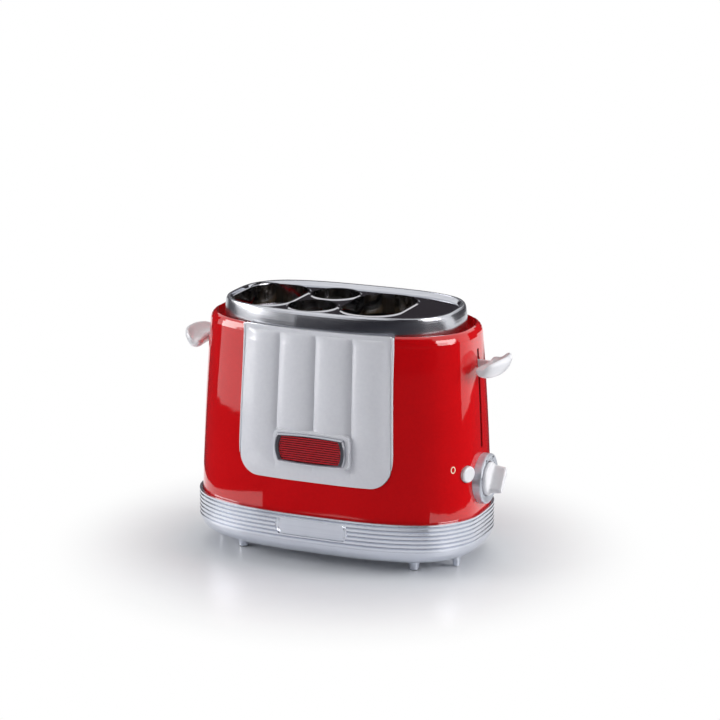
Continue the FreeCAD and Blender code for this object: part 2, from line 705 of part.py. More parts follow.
def panel_back_y(x, z):
    """Y of the panel's plain back, which stays clear of the top plate's skirt."""
    wall = min(PANEL_WALL, shell_size(min(z, SHELL_SIDE_TOP_Z))[1] - LIP_HALF_WIDTH)
    return shell_front_y(x, z, -wall)


def panel_section(z):
    """Level section of the panel: one smooth curve for each flute, straight sides and a plain back."""
    inner_half = panel_half_width(z)
    half = inner_half + 3.0
    flute = 2 * inner_half / FLUTE_COUNT
    edges = []
    for i in range(FLUTE_COUNT):
        points = []
        for k in range(9):
            x = -inner_half + flute * (i + k / 8)
            if abs(x) > inner_half - 1e-6:
                x = math.copysign(half, x)
            points.append(Vector(x, panel_front_y(x, z, k / 8), z))
        edges.append(smooth_edge(points))
    front_left = Vector(-half, panel_front_y(-half, z, 0.0), z)
    front_right = Vector(half, panel_front_y(half, z, 1.0), z)
    back = [Vector(x, panel_back_y(x, z), z) for x in (half, half / 2, 0, -half / 2, -half)]
    edges.append(Part.LineSegment(front_right, back[0]).toShape())
    edges.append(smooth_edge(back))
    edges.append(Part.LineSegment(back[-1], front_left).toShape())
    return Part.Wire(edges)


def front_panel():
    """Gloss panel with four pillowed flutes and the raised pad that carries the badge."""
    stretches = [(PANEL_BOTTOM_Z - 2, FLUTE_FOOT_Z, 1), (FLUTE_FOOT_Z, FLUTE_FULL_Z, 4),
                 (FLUTE_FULL_Z, FLUTE_DOME_Z, 3), (FLUTE_DOME_Z, FLUTE_END_Z, 5),
                 (FLUTE_END_Z, PANEL_TOP_Z, 1)]
    lofts = [loft([panel_section(z) for z in even_steps(*stretch)]) for stretch in stretches]
    body = lofts[0].multiFuse(lofts[1:])
    body = body.common(prism(panel_outline(0.0, upright(-FAR)), Vector(0, FAR, 0)))
    pocket = prism(bezel_outline(BADGE_FIT, upright(-FAR)), Vector(0, FAR + badge_floor_y(), 0))
    return body.fuse(badge_pad()).cut(pocket)


def badge_pad():
    """Raised pad with drafted edges that grows out of the flutes."""
    root_y, crown_y = -SHELL_HALF_WIDTH + 8, pad_crown_y() - PAST
    root = box_outline(PAD_HALF_WIDTH, PAD_HALF_HEIGHT, PAD_CORNER, upright(root_y), 0, BADGE_Z)
    sizes = [size - PAD_DRAFT for size in (PAD_HALF_WIDTH, PAD_HALF_HEIGHT, PAD_CORNER)]
    crown = box_outline(*sizes, upright(crown_y), 0, BADGE_Z)
    pad = loft([root, crown], True).common(shell_form(PANEL_PROUD + PAD_RISE))
    behind = block(-FAR, FAR, root_y - 3, FAR, PANEL_BOTTOM_Z, PANEL_TOP_Z)
    return pad.cut(behind)


def pad_crown_y():
    """Y of the pad's level at the foot of the shell, where it stands furthest out."""
    return -SHELL_HALF_WIDTH - PANEL_PROUD - PAD_RISE


def bezel_outline(grow, place):
    """Outside of the badge's bezel, grown by a clearance."""
    return badge_outline(grow, grow, place)


def insert_outline(grow, place):
    """Inside of the bezel, which the ribbed insert fills."""
    return badge_outline(grow - BEZEL_SIDE, grow - BEZEL_EDGE, place)


def badge_outline(grow_u, grow_v, place):
    """Barrel outline of the badge, grown sideways and upward."""
    corner = (BEZEL_CORNER_HALF_WIDTH + grow_u, BEZEL_CORNER_HALF_HEIGHT + grow_v)
    middle = (BEZEL_HALF_WIDTH + grow_u, BEZEL_HALF_HEIGHT + grow_v)
    return bowed_outline(*corner, *middle, BADGE_Z, place)


def badge_floor_y():
    """Y of the pocket that the badge sits in."""
    return pad_crown_y() + BADGE_FLOOR


def badge_bezel():
    """Bright barrel-shaped frame with a crowned face."""
    floor = badge_floor_y()
    face = pad_crown_y() - BEZEL_RISE + BADGE_SETBACK
    levels = [(0, floor), (0, face + BEZEL_CROWN), (-BEZEL_CROWN, face)]
    outer = loft([bezel_outline(grow, upright(y)) for grow, y in levels], True)
    inner = prism(insert_outline(0, upright(floor + PAST)), Vector(0, face - floor - 2 * PAST, 0))
    return outer.cut(inner)


def badge_insert():
    """Insert with rounded ribs along its length."""
    floor = badge_floor_y()
    face = pad_crown_y() - INSERT_RISE + BADGE_SETBACK
    count = int(2 * BEZEL_HALF_HEIGHT / RIB_PITCH)
    bottom = BADGE_Z - count * RIB_PITCH / 2
    place = crosswise(-BEZEL_HALF_WIDTH)
    edges = []
    for i in range(count):
        low = bottom + i * RIB_PITCH
        ends = [(face, low), (face - RIB_HEIGHT, low + RIB_PITCH / 2), (face, low + RIB_PITCH)]
        edges.append(Part.Arc(*[place(*point) for point in ends]).toShape())
    top = bottom + count * RIB_PITCH
    corners = [(face, top), (floor, top), (floor, bottom), (face, bottom)]
    for start, end in zip(corners, corners[1:]):
        edges.append(Part.LineSegment(place(*start), place(*end)).toShape())
    slab = prism(Part.Wire(edges), Vector(2 * BEZEL_HALF_WIDTH, 0, 0))
    outline = prism(insert_outline(-BADGE_FIT, upright(floor + PAST)), Vector(0, face - floor - 4 * PAST, 0))
    return slab.common(outline)


# ================================================================ top plate
def plate_oval(share, inset, z):
    """Level outline of the top plate, turned in by a share of the way to the crest, plus an inset."""
    across = CREST_INSET * share + inset
    square = SKIRT_SQUARE + (CREST_SQUARE - SKIRT_SQUARE) * share
    return oval(PLATE_HALF_LENGTH - across, PLATE_HALF_WIDTH - across, square, z)


def plate_outside():
    """Straight skirt and rounded rim of the top plate, closed on top."""
    levels = [(0.0, PLATE_SKIRT_Z)]
    for degrees in range(0, 89, 11):
        turn = math.radians(degrees)
        rise = (CREST_Z - PLATE_SHOULDER_Z) * math.sin(turn)
        levels.append((1 - math.cos(turn), PLATE_SHOULDER_Z + rise))
    return loft([plate_oval(share, 0, z) for share, z in levels], True)


def well_outline(side, grow, z):
    """Level outline of a sausage well; side is -1 for the front one."""
    return Part.Wire(Part.makeCircle(WELL_RADIUS + grow, Vector(WELLS_X, side * WELL_SPACING / 2, z)))


def opening_outlines(grow, z):
    """Level outlines of both slots and both wells, grown by a wall or clearance."""
    half_x, half_y, bend = BUN_SLOT_WIDTH / 2 + grow, BUN_SLOT_LENGTH / 2 + grow, BUN_SLOT_RADIUS + grow
    slots = [box_outline(half_x, half_y, bend, flat(z), x, 0) for x in (LEFT_SLOT_X, RIGHT_SLOT_X)]
    return slots + [well_outline(side, grow, z) for side in (-1, 1)]


def openings(grow, z0, z1):
    """Upright prisms of both slots and both wells."""
    return [level(outline, z1 - z0) for outline in opening_outlines(grow, z0)]


def plate_sink():
    """Room over the sunk flat, inside the inner slope of the rim."""
    crest_a = PLATE_HALF_LENGTH - CREST_INSET - RIM_LAND
    crest_b = PLATE_HALF_WIDTH - CREST_INSET - RIM_LAND
    floor = oval(FLAT_HALF_LENGTH, FLAT_HALF_WIDTH, FLAT_SQUARE, FLAT_Z)
    upper = [oval(crest_a, crest_b, SINK_SQUARE, z) for z in (CREST_Z - SINK_DROP, CREST_Z + CUT_RISE)]
    return loft([floor] + upper, True)


def top_plate():
    """Bright drawn plate: round skirt, raised rim and sunk flat with the four openings."""
    inner_steps = [(0.0, PLATE_SKIRT_Z - PAST), (0.0, PLATE_SHOULDER_Z), (0.4, FLAT_Z - PLATE_SHEET)]
    hollow = loft([plate_oval(share, PLATE_SHEET, z) for share, z in inner_steps], True)
    shape = plate_outside().cut(plate_sink()).cut(hollow)
    for opening in openings(COLLAR_SHEET + COLLAR_SEAT, DECK_Z, CREST_Z + CUT_RISE):
        shape = shape.cut(opening)
    return shape


def slot_collars():
    """Bright ring in each opening: a bead that lies on the flat and a collar below it."""
    low, bead = FLAT_Z - COLLAR_DEPTH, FLAT_Z + BEAD_RISE
    edge, brow = opening_outlines(COLLAR_SHEET + BEAD_LAP, FLAT_Z), opening_outlines(COLLAR_SHEET, bead)
    rings = []
    sink = plate_sink()
    for i, collar in enumerate(openings(COLLAR_SHEET, low, bead)):
        ring = collar.fuse(loft([edge[i], brow[i]], True).common(sink))
        rings.append(ring.cut(openings(0, low - PAST, bead + PAST)[i]))
    return Part.makeCompound(rings)


# ================================================================ base
def base_form(offset, ridges):
    """Base from the underside to the top of the band, moved out by offset, ridged or plain."""
    a, b = BASE_HALF_LENGTH + offset, BASE_HALF_WIDTH + offset
    levels = [(0.0, BAND_TOP_Z)]
    turn_z = GROOVE_TOP_Z - GROOVE_PITCH * GROOVE_COUNT
    if ridges:
        for i in range(GROOVE_COUNT):
            groove = GROOVE_TOP_Z - GROOVE_PITCH * i
            levels += [(0.0, groove + GROOVE_HALF), (GROOVE_DEPTH, groove), (0.0, groove - GROOVE_HALF)]
        levels.append((0.0, turn_z + GROOVE_HALF))
    for share in (0, 0.2, 0.4, 0.6, 0.8, 1):
        angle = math.radians(BASE_TURN_END * share)
        inset = GROOVE_DEPTH + TURN_INSET * (1 - math.cos(angle))
        levels.append((inset, turn_z - (TURN_DROP + offset) * math.sin(angle)))
    return loft([oval(a - inset, b - inset, BASE_SQUARE, z) for inset, z in reversed(levels)], True)


def base_bottom_z():
    """Height of the flat underside."""
    return GROOVE_TOP_Z - GROOVE_PITCH * GROOVE_COUNT - TURN_DROP * math.sin(math.radians(BASE_TURN_END))


def tray_hole(gap, y0, y1):
    """Passage of the crumb tray through the rear of the base."""
    return block(TRAY_LEFT_X - gap, TRAY_RIGHT_X + gap, y0, y1, TRAY_Z - gap, TRAY_HOLE_TOP_Z + gap)


def base_housing():
    """Ridged silver base: turned-under tub with a ledge for the shell and a pocket for the name plate."""
    ridged = shared("base_ridged", lambda: base_form(0.0, True))
    inside = base_form(-BASE_WALL, False)
    floor_z = base_bottom_z() + BASE_FLOOR
    keep = block(-FAR, FAR, -FAR, FAR, floor_z, BAND_TOP_Z + PAST)
    a, b, n = shell_size(SHELL_SEAT_Z)
    seat = upright_oval(a + SHELL_GAP, b + SHELL_GAP, n, SHELL_SEAT_Z - LEDGE_DEPTH, SHELL_SEAT_Z)
    reach = SHELL_WALL + LEDGE_WIDTH
    seat = seat.cut(upright_oval(a - reach, b - reach, n, 0, FAR))
    shape = ridged.cut(inside.common(keep)).fuse(seat)
    shape = shape.cut(upright_oval(a + SHELL_GAP, b + SHELL_GAP, n, SHELL_SEAT_Z, BAND_TOP_Z + PAST))
    bottom = base_bottom_z()
    posts = [rod_z(POST_RADIUS, x, y, bottom + PAST, CHASSIS_Z) for x, y in quarters(POST_X, POST_Y)]
    shape = shape.multiFuse(posts)
    shape = shape.cut(cover_outline(COVER_GAP, bottom - PAST, COVER_THICKNESS + PAST))
    shape = shape.cut(cover_outline(-COVER_LAP, bottom - PAST, BASE_FLOOR + 2 * PAST))
    shape = shape.cut(tray_hole(TRAY_GAP, TRAY_REAR_Y - 10, FAR))
    pocket = Vector(0, FAR - BASE_HALF_WIDTH + PLATE_POCKET, 0)
    shape = shape.cut(prism(name_outline(BADGE_FIT, upright(-FAR)), pocket))
    return shape.cut(rod(GLAND_RADIUS, Vector(GLAND_X, 20, GLAND_Z), Vector(GLAND_X, FAR, GLAND_Z)))


def cover_outline(grow, z, height):
    """Level slab on the underside cover's outline, grown by a clearance."""
    half_x, half_y = COVER_HALF_LENGTH + grow, COVER_HALF_WIDTH + grow
    return level(box_outline(half_x, half_y, COVER_CORNER + grow, flat(z)), height)


def name_outline(grow, place):
    """Name plate's outline: level edges and bowed ends."""
    centre = (PLATE_BOTTOM_Z + PLATE_TOP_Z) / 2
    half = (PLATE_TOP_Z - PLATE_BOTTOM_Z) / 2 + grow
    return bowed_outline(PLATE_CORNER_HALF + grow, half, PLATE_MID_HALF + grow, half + 0.02, centre, place)


def name_plate():
    """Plain plate in the front of the band, flush with the ridges."""
    outline = prism(name_outline(0.0, upright(-FAR)), Vector(0, FAR - BASE_HALF_WIDTH + PLATE_THICKNESS, 0))
    return outline.common(base_form(0.0, False))


def bottom_cover():
    """Screwed underside cover with vent slots and the crumb tray's two rails."""
    bottom = base_bottom_z()
    shape = cover_outline(0, bottom, COVER_THICKNESS)
    for i in range(VENT_COUNT):
        x = (i - (VENT_COUNT - 1) / 2) * VENT_PITCH + WELLS_X
        slot = box_outline(VENT_HALF_WIDTH, VENT_HALF_LENGTH, VENT_HALF_WIDTH * 0.97,
                           flat(bottom - PAST), x, 0)
        shape = shape.cut(level(slot, COVER_THICKNESS + 2 * PAST))
    rails = []
    for x in RAIL_X:
        half, low = RAIL_THICKNESS / 2, bottom + COVER_THICKNESS / 2
        rails.append(block(x - half, x + half, -RAIL_HALF_LENGTH, RAIL_HALF_LENGTH, low, TRAY_Z - SEAT_GAP))
        rails.append(block(x - 6, x + 6, -2, 2, low, bottom + 8))
    shape = shape.multiFuse(rails)
    for x, y in screw_places():
        shape = shape.cut(rod_z(SCREW_HEAD_RADIUS / 2, x, y, bottom - PAST, bottom + SCREW_DEPTH))
    return shape


def screw_places():
    """Plan places of the cover's screws."""
    return quarters(COVER_HALF_LENGTH - SCREW_INSET, COVER_HALF_WIDTH - SCREW_INSET)


def cover_screws():
    """Pan heads with their shanks."""
    bottom = base_bottom_z()
    low = bottom - SCREW_HEAD_HEIGHT
    screws = []
    for x, y in screw_places():
        head = Part.makeCone(SCREW_HEAD_RADIUS - 0.7, SCREW_HEAD_RADIUS, SCREW_HEAD_HEIGHT,
                             Vector(x, y, low))
        shank = rod_z(SCREW_HEAD_RADIUS / 2 - 0.1, x, y, bottom - 0.2, bottom + SCREW_DEPTH)
        screws.append(head.fuse(shank))
    return Part.makeCompound(screws)


def foot(x, y, top_radius, bottom_radius):
    """Tapered foot, trimmed to the rounded turn that it grows from."""
    top = base_bottom_z() + 6
    cone = Part.makeCone(bottom_radius, top_radius, top - PAD_HEIGHT, Vector(x, y, PAD_HEIGHT))
    return cone.cut(shared("base_plain", lambda: base_form(0.0, False)))


def foot_pads():
    """Rubber discs under the four main feet."""
    return Part.makeCompound([rod_z(FOOT_BOTTOM_RADIUS - 0.4, x, y, 0, PAD_HEIGHT)
                              for x, y in quarters(FOOT_X, FOOT_Y)])


def prop_feet():
    """Thin feet under the two ends, which keep the toaster from tipping under a lever."""
    return Part.makeCompound([foot(side * PROP_X, PROP_Y, PROP_TOP_RADIUS, PROP_BOTTOM_RADIUS)
                              for side in (-1, 1)])


# ================================================================ crumb tray
def crumb_tray():
    """Folded steel tray."""
    outer = block(TRAY_LEFT_X, TRAY_RIGHT_X, TRAY_FRONT_Y, TRAY_REAR_Y, TRAY_Z, TRAY_Z + TRAY_HEIGHT)
    x0, x1 = TRAY_LEFT_X + TRAY_SHEET, TRAY_RIGHT_X - TRAY_SHEET
    y0, y1 = TRAY_FRONT_Y + TRAY_SHEET, TRAY_REAR_Y - TRAY_SHEET
    return outer.cut(block(x0, x1, y0, y1, TRAY_Z + TRAY_SHEET, TRAY_Z + TRAY_HEIGHT + PAST))


def tray_grip():
    """Piece of the ridged band that closes the tray's passage, with a finger groove under it."""
    band = shared("base_ridged", lambda: base_form(0.0, True))
    shape = band.common(block(TRAY_LEFT_X, TRAY_RIGHT_X, TRAY_REAR_Y, FAR, TRAY_Z, TRAY_HOLE_TOP_Z))
    middle = (TRAY_LEFT_X + TRAY_RIGHT_X) / 2
    depth = GRIP_GROOVE_DEPTH
    groove = box_outline(GRIP_GROOVE_HALF, depth + PAST, depth, upright(TRAY_REAR_Y + depth), middle, TRAY_Z)
    return shape.cut(prism(groove, Vector(0, FAR, 0)))


# ================================================================ inner frame
def chassis_z():
    """Top face of the chassis plate."""
    return CHASSIS_Z + CHASSIS_SHEET


def chassis_plate():
    """Steel plate on the base's posts that carries the cooking chamber."""
    outline = box_outline(CHASSIS_HALF_LENGTH, CHASSIS_HALF_WIDTH, CHASSIS_CORNER, flat(CHASSIS_Z))
    shape = level(outline, CHASSIS_SHEET)
    inset = SHELL_WALL + LEDGE_WIDTH + 0.6
    shape = shape.common(upright_oval(SHELL_HALF_LENGTH - inset, SHELL_HALF_WIDTH - inset,
                                      SQUARE_BOTTOM, 0, FAR))
    return shape.cut(level(chamber_outline(-4.0, flat(CHASSIS_Z - PAST)), CHASSIS_SHEET + 2 * PAST))


def chamber_outline(grow, place):
    """Plan outline of the cooking chamber's inside, grown by a wall."""
    left, right, half = CHAMBER_LEFT_X - grow, CHAMBER_RIGHT_X + grow, CHAMBER_HALF_WIDTH + grow
    corners = [(left, -half), (right, -half), (right, half), (left, half)]
    bend = CHAMBER_CORNER + grow
    return rounded_outline(corners, [bend, 0, 0, bend], place)


def chamber_half_width(x):
    """Half-width of the chamber's inside at x, rounded corners included."""
    into_corner = CHAMBER_LEFT_X + CHAMBER_CORNER - x
    if into_corner <= 0:
        return CHAMBER_HALF_WIDTH
    return CHAMBER_HALF_WIDTH - CHAMBER_CORNER + math.sqrt(CHAMBER_CORNER ** 2 - into_corner ** 2)


def reflector(side):
    """Bright sheet along one long side, curled round the left corner, with a foot flange."""
    base = chassis_z()
    inside = level(chamber_outline(0, flat(0)), FAR)
    ring = level(chamber_outline(REFLECTOR_SHEET, flat(base)), CHAMBER_TOP_Z - base)
    flange = level(chamber_outline(REFLECTOR_SHEET + REFLECTOR_FLANGE, flat(base)), REFLECTOR_SHEET)
    y0, y1 = span(side, CHAMBER_HALF_WIDTH - CHAMBER_CORNER, FAR)
    left = CHAMBER_LEFT_X - REFLECTOR_SHEET
    shape = ring.fuse(flange).cut(inside).common(block(left, CHAMBER_RIGHT_X, y0, y1, 0, FAR))
    for x in REFLECTOR_VENT_X:
        for z in REFLECTOR_VENT_Z:
            vent = box_outline(REFLECTOR_VENT_HALF_LENGTH, VENT_HALF_WIDTH, VENT_HALF_WIDTH * 0.97,
                               upright(-FAR), x, z)
            shape = shape.cut(prism(vent, Vector(0, 2 * FAR, 0)))
    return shape


def end_frame(side):
    """Upright plate at an end of the chamber, with a top flange that holds the guide rods."""
    right = side > 0
    face_x = CHAMBER_RIGHT_X + SEAT_GAP if right else CHAMBER_LEFT_X - REFLECTOR_SHEET - SEAT_GAP
    half = FRAME_RIGHT_HALF_WIDTH if right else FRAME_LEFT_HALF_WIDTH
    place_x = bracket_places(side)[0]
    base, flange_z = chassis_z(), flange_bottom_z()
    x0, x1 = sorted((face_x, face_x + side * FRAME_SHEET))
    parts = [block(x0, x1, -half, half, base, CHAMBER_TOP_Z)]
    f0, f1 = sorted((face_x, place_x + side * (ROD_RADIUS + 2.2)))
    parts.append(block(f0, f1, -ROD_Y - 5, ROD_Y + 5, flange_z, flange_z + FRAME_SHEET))
    g0, g1 = sorted((face_x, face_x + side * FRAME_FOOT))
    for sy in (-1, 1):
        y0, y1 = span(sy, ROD_Y + 8, half)
        parts.append(block(g0, g1, y0, y1, base, base + FRAME_SHEET))
    low, high = bar_slit_span()
    shape = parts[0].multiFuse(parts[1:])
    shape = shape.cut(block(x0 - PAST, x1 + PAST, -BAR_SLIT / 2, BAR_SLIT / 2, low, high))
    for sy in (-1, 1):
        shape = shape.cut(rod_z(ROD_RADIUS + ROD_SEAT, place_x, sy * ROD_Y, flange_z - PAST, FAR))
    return shape


def flange_bottom_z():
    """Underside of the end frames' top flanges, above the carriage's highest reach."""
    return BRACKET_TOP_Z + LIFT_UP + 0.8


def bar_slit_span():
    """Lowest and highest point of the slits that the carriage bar runs in."""
    return BAR_Z - BAR_HALF_HEIGHT - LIFT_DOWN - 3, BAR_Z + BAR_HALF_HEIGHT + LIFT_UP + 3


def guide_rods():
    """Four polished rods that the carriage brackets run on."""
    top = flange_bottom_z() + FRAME_SHEET
    places = [(x, y) for x in (LEFT_ROD_X, RIGHT_ROD_X) for y in (-ROD_Y, ROD_Y)]
    return Part.makeCompound([rod_z(ROD_RADIUS, x, y, chassis_z(), top) for x, y in places])


# ================================================================ heaters, guards, cages
def heater_places():
    """Names and x of the four heater boards, left to right."""
    inner = WELL_RADIUS + HEATER_WEB / 2
    return {"left_outer": CHAMBER_LEFT_X + HEATER_END_GAP, "left_inner": WELLS_X - inner,
            "right_inner": WELLS_X + inner, "right_outer": CHAMBER_RIGHT_X - HEATER_END_GAP}


def heater_board(x):
    """Mica board across the chamber, slit for the carriage bar."""
    half = chamber_half_width(x + (HEATER_SHEET / 2 if x > 0 else -HEATER_SHEET / 2)) - SEAT_GAP
    board = block(x - HEATER_SHEET / 2, x + HEATER_SHEET / 2, -half, half, HEATER_BOTTOM_Z, HEATER_TOP_Z)
    high = bar_slit_span()[1]
    return board.cut(block(x - PAST, x + PAST, -BAR_SLIT / 2, BAR_SLIT / 2, HEATER_BOTTOM_Z - PAST, high))


def heater_ribbon(x, facing):
    """Flat resistance ribbon laid to and fro on one face of a board; facing is the way it looks."""
    half = chamber_half_width(x - HEATER_SHEET) - RIBBON_MARGIN
    face = x + facing * HEATER_SHEET / 2
    x0, x1 = sorted((face, face + facing * RIBBON_THICKNESS))
    inner = BAR_SLIT / 2 + 4
    pitch = (HEATER_TOP_Z - HEATER_BOTTOM_Z - 2 * RIBBON_MARGIN - 18) / (RIBBON_ROWS - 1)
    parts = []
    for side in (-1, 1):
        for row in range(RIBBON_ROWS):
            z = HEATER_BOTTOM_Z + RIBBON_MARGIN + row * pitch
            y0, y1 = span(side, inner, half)
            parts.append(block(x0, x1, y0, y1, z, z + RIBBON_WIDTH))
            if row < RIBBON_ROWS - 1:
                turn = half - RIBBON_WIDTH if row % 2 == 0 else inner
                y0, y1 = span(side, turn, turn + RIBBON_WIDTH)
                parts.append(block(x0, x1, y0, y1, z, z + pitch + RIBBON_WIDTH))
    top = HEATER_TOP_Z - RIBBON_MARGIN
    start = HEATER_BOTTOM_Z + RIBBON_MARGIN + (RIBBON_ROWS - 1) * pitch
    for side in (-1, 1):
        y0, y1 = span(side, half - RIBBON_WIDTH, half)
        parts.append(block(x0, x1, y0, y1, start, top))
    parts.append(block(x0, x1, -half, half, top - RIBBON_WIDTH, top))
    return fused(parts)


def bun_guard(slot_x):
    """Two wire grilles that keep a bun off the heaters on each side of its slot."""
    grilles = []
    for side in (-1, 1):
        x = slot_x + side * (BUN_SLOT_WIDTH / 2 - GUARD_INSET)
        half = chamber_half_width(x - GUARD_WIRE) - SEAT_GAP
        heights = (GUARD_BOTTOM_Z, GUARD_TOP_Z)
        wires = [rod(GUARD_WIRE, Vector(x, -half, z), Vector(x, half, z)) for z in heights]
        for y in GUARD_WIRE_Y:
            wires += [rod_z(GUARD_WIRE, x, sy * y, *heights) for sy in (-1, 1)]
        grilles.append(wires[0].multiFuse(wires[1:]))
    return Part.makeCompound(grilles)


def sausage_cage(side):
    """Open well: collar under the plate, upright wires and a bottom ring."""
    y = side * WELL_SPACING / 2
    top = FLAT_Z - COLLAR_DEPTH - CAGE_GAP
    collar = disc_ring(WELL_RADIUS, WELL_RADIUS - CAGE_WALL, WELLS_X, y, top - CAGE_COLLAR, top)
    ring_inner, ring_top = WELL_RADIUS - 2 * CAGE_WIRE, CAGE_BOTTOM_Z + 2 * CAGE_WIRE
    ring = disc_ring(WELL_RADIUS, ring_inner, WELLS_X, y, CAGE_BOTTOM_Z, ring_top)
    wires = []
    reach = WELL_RADIUS - CAGE_WALL
    for i in range(CAGE_WIRES):
        turn = 2 * math.pi * i / CAGE_WIRES
        wx, wy = WELLS_X + reach * math.cos(turn), y + reach * math.sin(turn)
        wires.append(rod_z(CAGE_WIRE, wx, wy, CAGE_BOTTOM_Z + CAGE_WIRE, top - CAGE_COLLAR + 2))
    return collar.multiFuse([ring] + wires)


def cage_bridge():
    """Strap across the chamber that carries both cages by their collars."""
    half = CHAMBER_HALF_WIDTH - SEAT_GAP
    reach = WELL_RADIUS + 1.2
    z = CHAMBER_TOP_Z - 4
    strap = block(WELLS_X - reach, WELLS_X + reach, -half, half, z, z + FRAME_SHEET)
    for side in (-1, 1):
        strap = strap.cut(level(well_outline(side, SEAT_GAP, z - PAST), FRAME_SHEET + 2 * PAST))
    return strap


# ================================================================ carriage
def bracket_places(side):
    """Rod x and web x of the carriage bracket at an end."""
    place_x = RIGHT_ROD_X if side > 0 else LEFT_ROD_X
    return place_x, place_x - side * BRACKET_DEPTH


def carriage_bracket(side):
    """Channel of folded sheet that runs on the rods and reaches out to the lever handle."""
    place_x, web_x = bracket_places(side)
    x0, x1 = sorted((web_x, web_x + side * BRACKET_SHEET))
    f0, f1 = sorted((web_x, place_x + side * (ROD_RADIUS + 2.0)))
    half, low, high = BRACKET_HALF_WIDTH, BRACKET_BOTTOM_Z, BRACKET_TOP_Z
    parts = [block(x0, x1, -half, half, low, high), block(f0, f1, -half, half, low, low + BRACKET_SHEET),
             block(f0, f1, -half, half, high - BRACKET_SHEET, high)]
    t0, t1 = sorted((web_x, side * (NECK_INNER_X + TONGUE_LENGTH)))
    thick, tall = TONGUE_HALF_THICKNESS, TONGUE_HALF_HEIGHT
    parts.append(block(t0, t1, -thick, thick, LEVER_Z - tall, LEVER_Z + tall))
    if side > 0:
        reach = LATCH_HALF_WIDTH
        parts.append(block(web_x - LATCH_LENGTH, web_x + BRACKET_SHEET,
                           -reach, reach, low, low + BRACKET_SHEET))
    shape = fused(parts)
    for sy in (-1, 1):
        shape = shape.cut(rod_z(ROD_RADIUS + ROD_RUNNING, place_x, sy * ROD_Y, low - PAST, high + PAST))
    return shape.cut(rod_z(SPRING_RADIUS + 1.0, place_x, SPRING_Y, high - 4, high + PAST))


def carriage_bar():
    """Flat bar from bracket to bracket that carries the lifts."""
    left = bracket_places(-1)[1] + SEAT_GAP / 2
    right = bracket_places(1)[1] - SEAT_GAP / 2
    half = BAR_THICKNESS / 2
    return block(left, right, -half, half, BAR_Z - BAR_HALF_HEIGHT, BAR_Z + BAR_HALF_HEIGHT)


def lift_z():
    """Underside of the lifts, on the bar's top edge."""
    return BAR_Z + BAR_HALF_HEIGHT


def bun_lift(slot_x):
    """Perforated tray under a bun, with two folded ears that grip the bar."""
    z = lift_z()
    tray = level(box_outline(BUN_LIFT_HALF_X, BUN_LIFT_HALF_Y, 8.0, flat(z), slot_x, 0), LIFT_SHEET)
    for i in (-1, 0, 1):
        for side in (-1, 1):
            hole = box_outline(4.0, 9.0, 3.9, flat(z - PAST), slot_x + i * 13.0, side * 18.0)
            tray = tray.cut(level(hole, LIFT_SHEET + 2 * PAST))
    return tray.multiFuse([ear(slot_x, side, EAR_HALF) for side in (-1, 1)])


def ear(x, side, half):
    """Folded ear of a lift that lies against one face of the bar."""
    near = BAR_THICKNESS / 2 + SEAT_GAP / 2
    y0, y1 = span(side, near, near + EAR_SHEET)
    return block(x - half, x + half, y0, y1, lift_z() - EAR_DEPTH, lift_z() + LIFT_SHEET / 2)


def sausage_lift():
    """Two discs on arms that reach from the bar between the cage wires."""
    z = lift_z()
    arm_half = WELL_SPACING / 2
    parts = [block(WELLS_X - WELL_ARM / 2, WELLS_X + WELL_ARM / 2, -arm_half, arm_half, z, z + LIFT_SHEET)]
    for side in (-1, 1):
        disc = disc_ring(WELL_LIFT_RADIUS, 0, WELLS_X, side * arm_half, z, z + LIFT_SHEET)
        for i in range(4):
            turn = math.pi * (i + 0.5) / 2
            x, y = WELLS_X + 10.5 * math.cos(turn), side * arm_half + 10.5 * math.sin(turn)
            disc = disc.cut(rod_z(4.2, x, y, z - PAST, z + LIFT_SHEET + PAST))
        parts += [disc, ear(WELLS_X, side, WELL_ARM / 2)]
    return parts[0].multiFuse(parts[1:])


def half_turn(centre, reach):
    """Half a coil of square wire, from centre + reach round to the other side, rising as it goes."""
    sideways = Vector(0, 1 if reach.x > 0 else -1, 0)
    axis = reach.cross(sideways).normalize()
    outward = Vector(reach).normalize()
    start = centre + reach
    corners = []
    for u, v in ((-1, -1), (1, -1), (1, 1), (-1, 1)):
        corners.append(start + outward * (u * SPRING_WIRE) + axis * (v * SPRING_WIRE))
    profile = Part.Face(Part.makePolygon(corners + corners[:1]))
    return profile.revolve(centre, axis, 180)


def lift_spring(side):
    """Extension spring with straight legs, from the frame's flange to the bracket's foot."""
    x = bracket_places(side)[0]
    low = BRACKET_BOTTOM_Z + BRACKET_SHEET
    high = flange_bottom_z()
    coil_low, coil_high = low + SPRING_LEG, high - SPRING_LEG
    rise = (coil_high - coil_low) / (2 * SPRING_TURNS)
    leg_x = x + SPRING_RADIUS
    parts = [rod_z(SPRING_WIRE, leg_x, SPRING_Y, low, coil_low + SPRING_WIRE),
             rod_z(SPRING_WIRE, leg_x, SPRING_Y, coil_high - SPRING_WIRE, high)]
    for i in range(2 * SPRING_TURNS):
        toward = SPRING_RADIUS if i % 2 == 0 else -SPRING_RADIUS
        centre = Vector(x, SPRING_Y, coil_low + rise * (i + 0.5))
        parts.append(half_turn(centre, Vector(toward, 0, -rise / 2)))
    return parts[0].multiFuse(parts[1:])


def latch_plate():
    """Soft-iron plate under the right bracket, held by the magnet when the carriage is down."""
    web_x = bracket_places(1)[1]
    half, top = LATCH_HALF_WIDTH - 1, BRACKET_BOTTOM_Z
    return block(web_x - LATCH_LENGTH + 1, web_x - 1, -half, half, top - LATCH_SHEET, top)


def magnet_top_z():
    """Pole faces of the magnet."""
    return BRACKET_BOTTOM_Z - LATCH_SHEET - LIFT_DOWN - LATCH_GAP


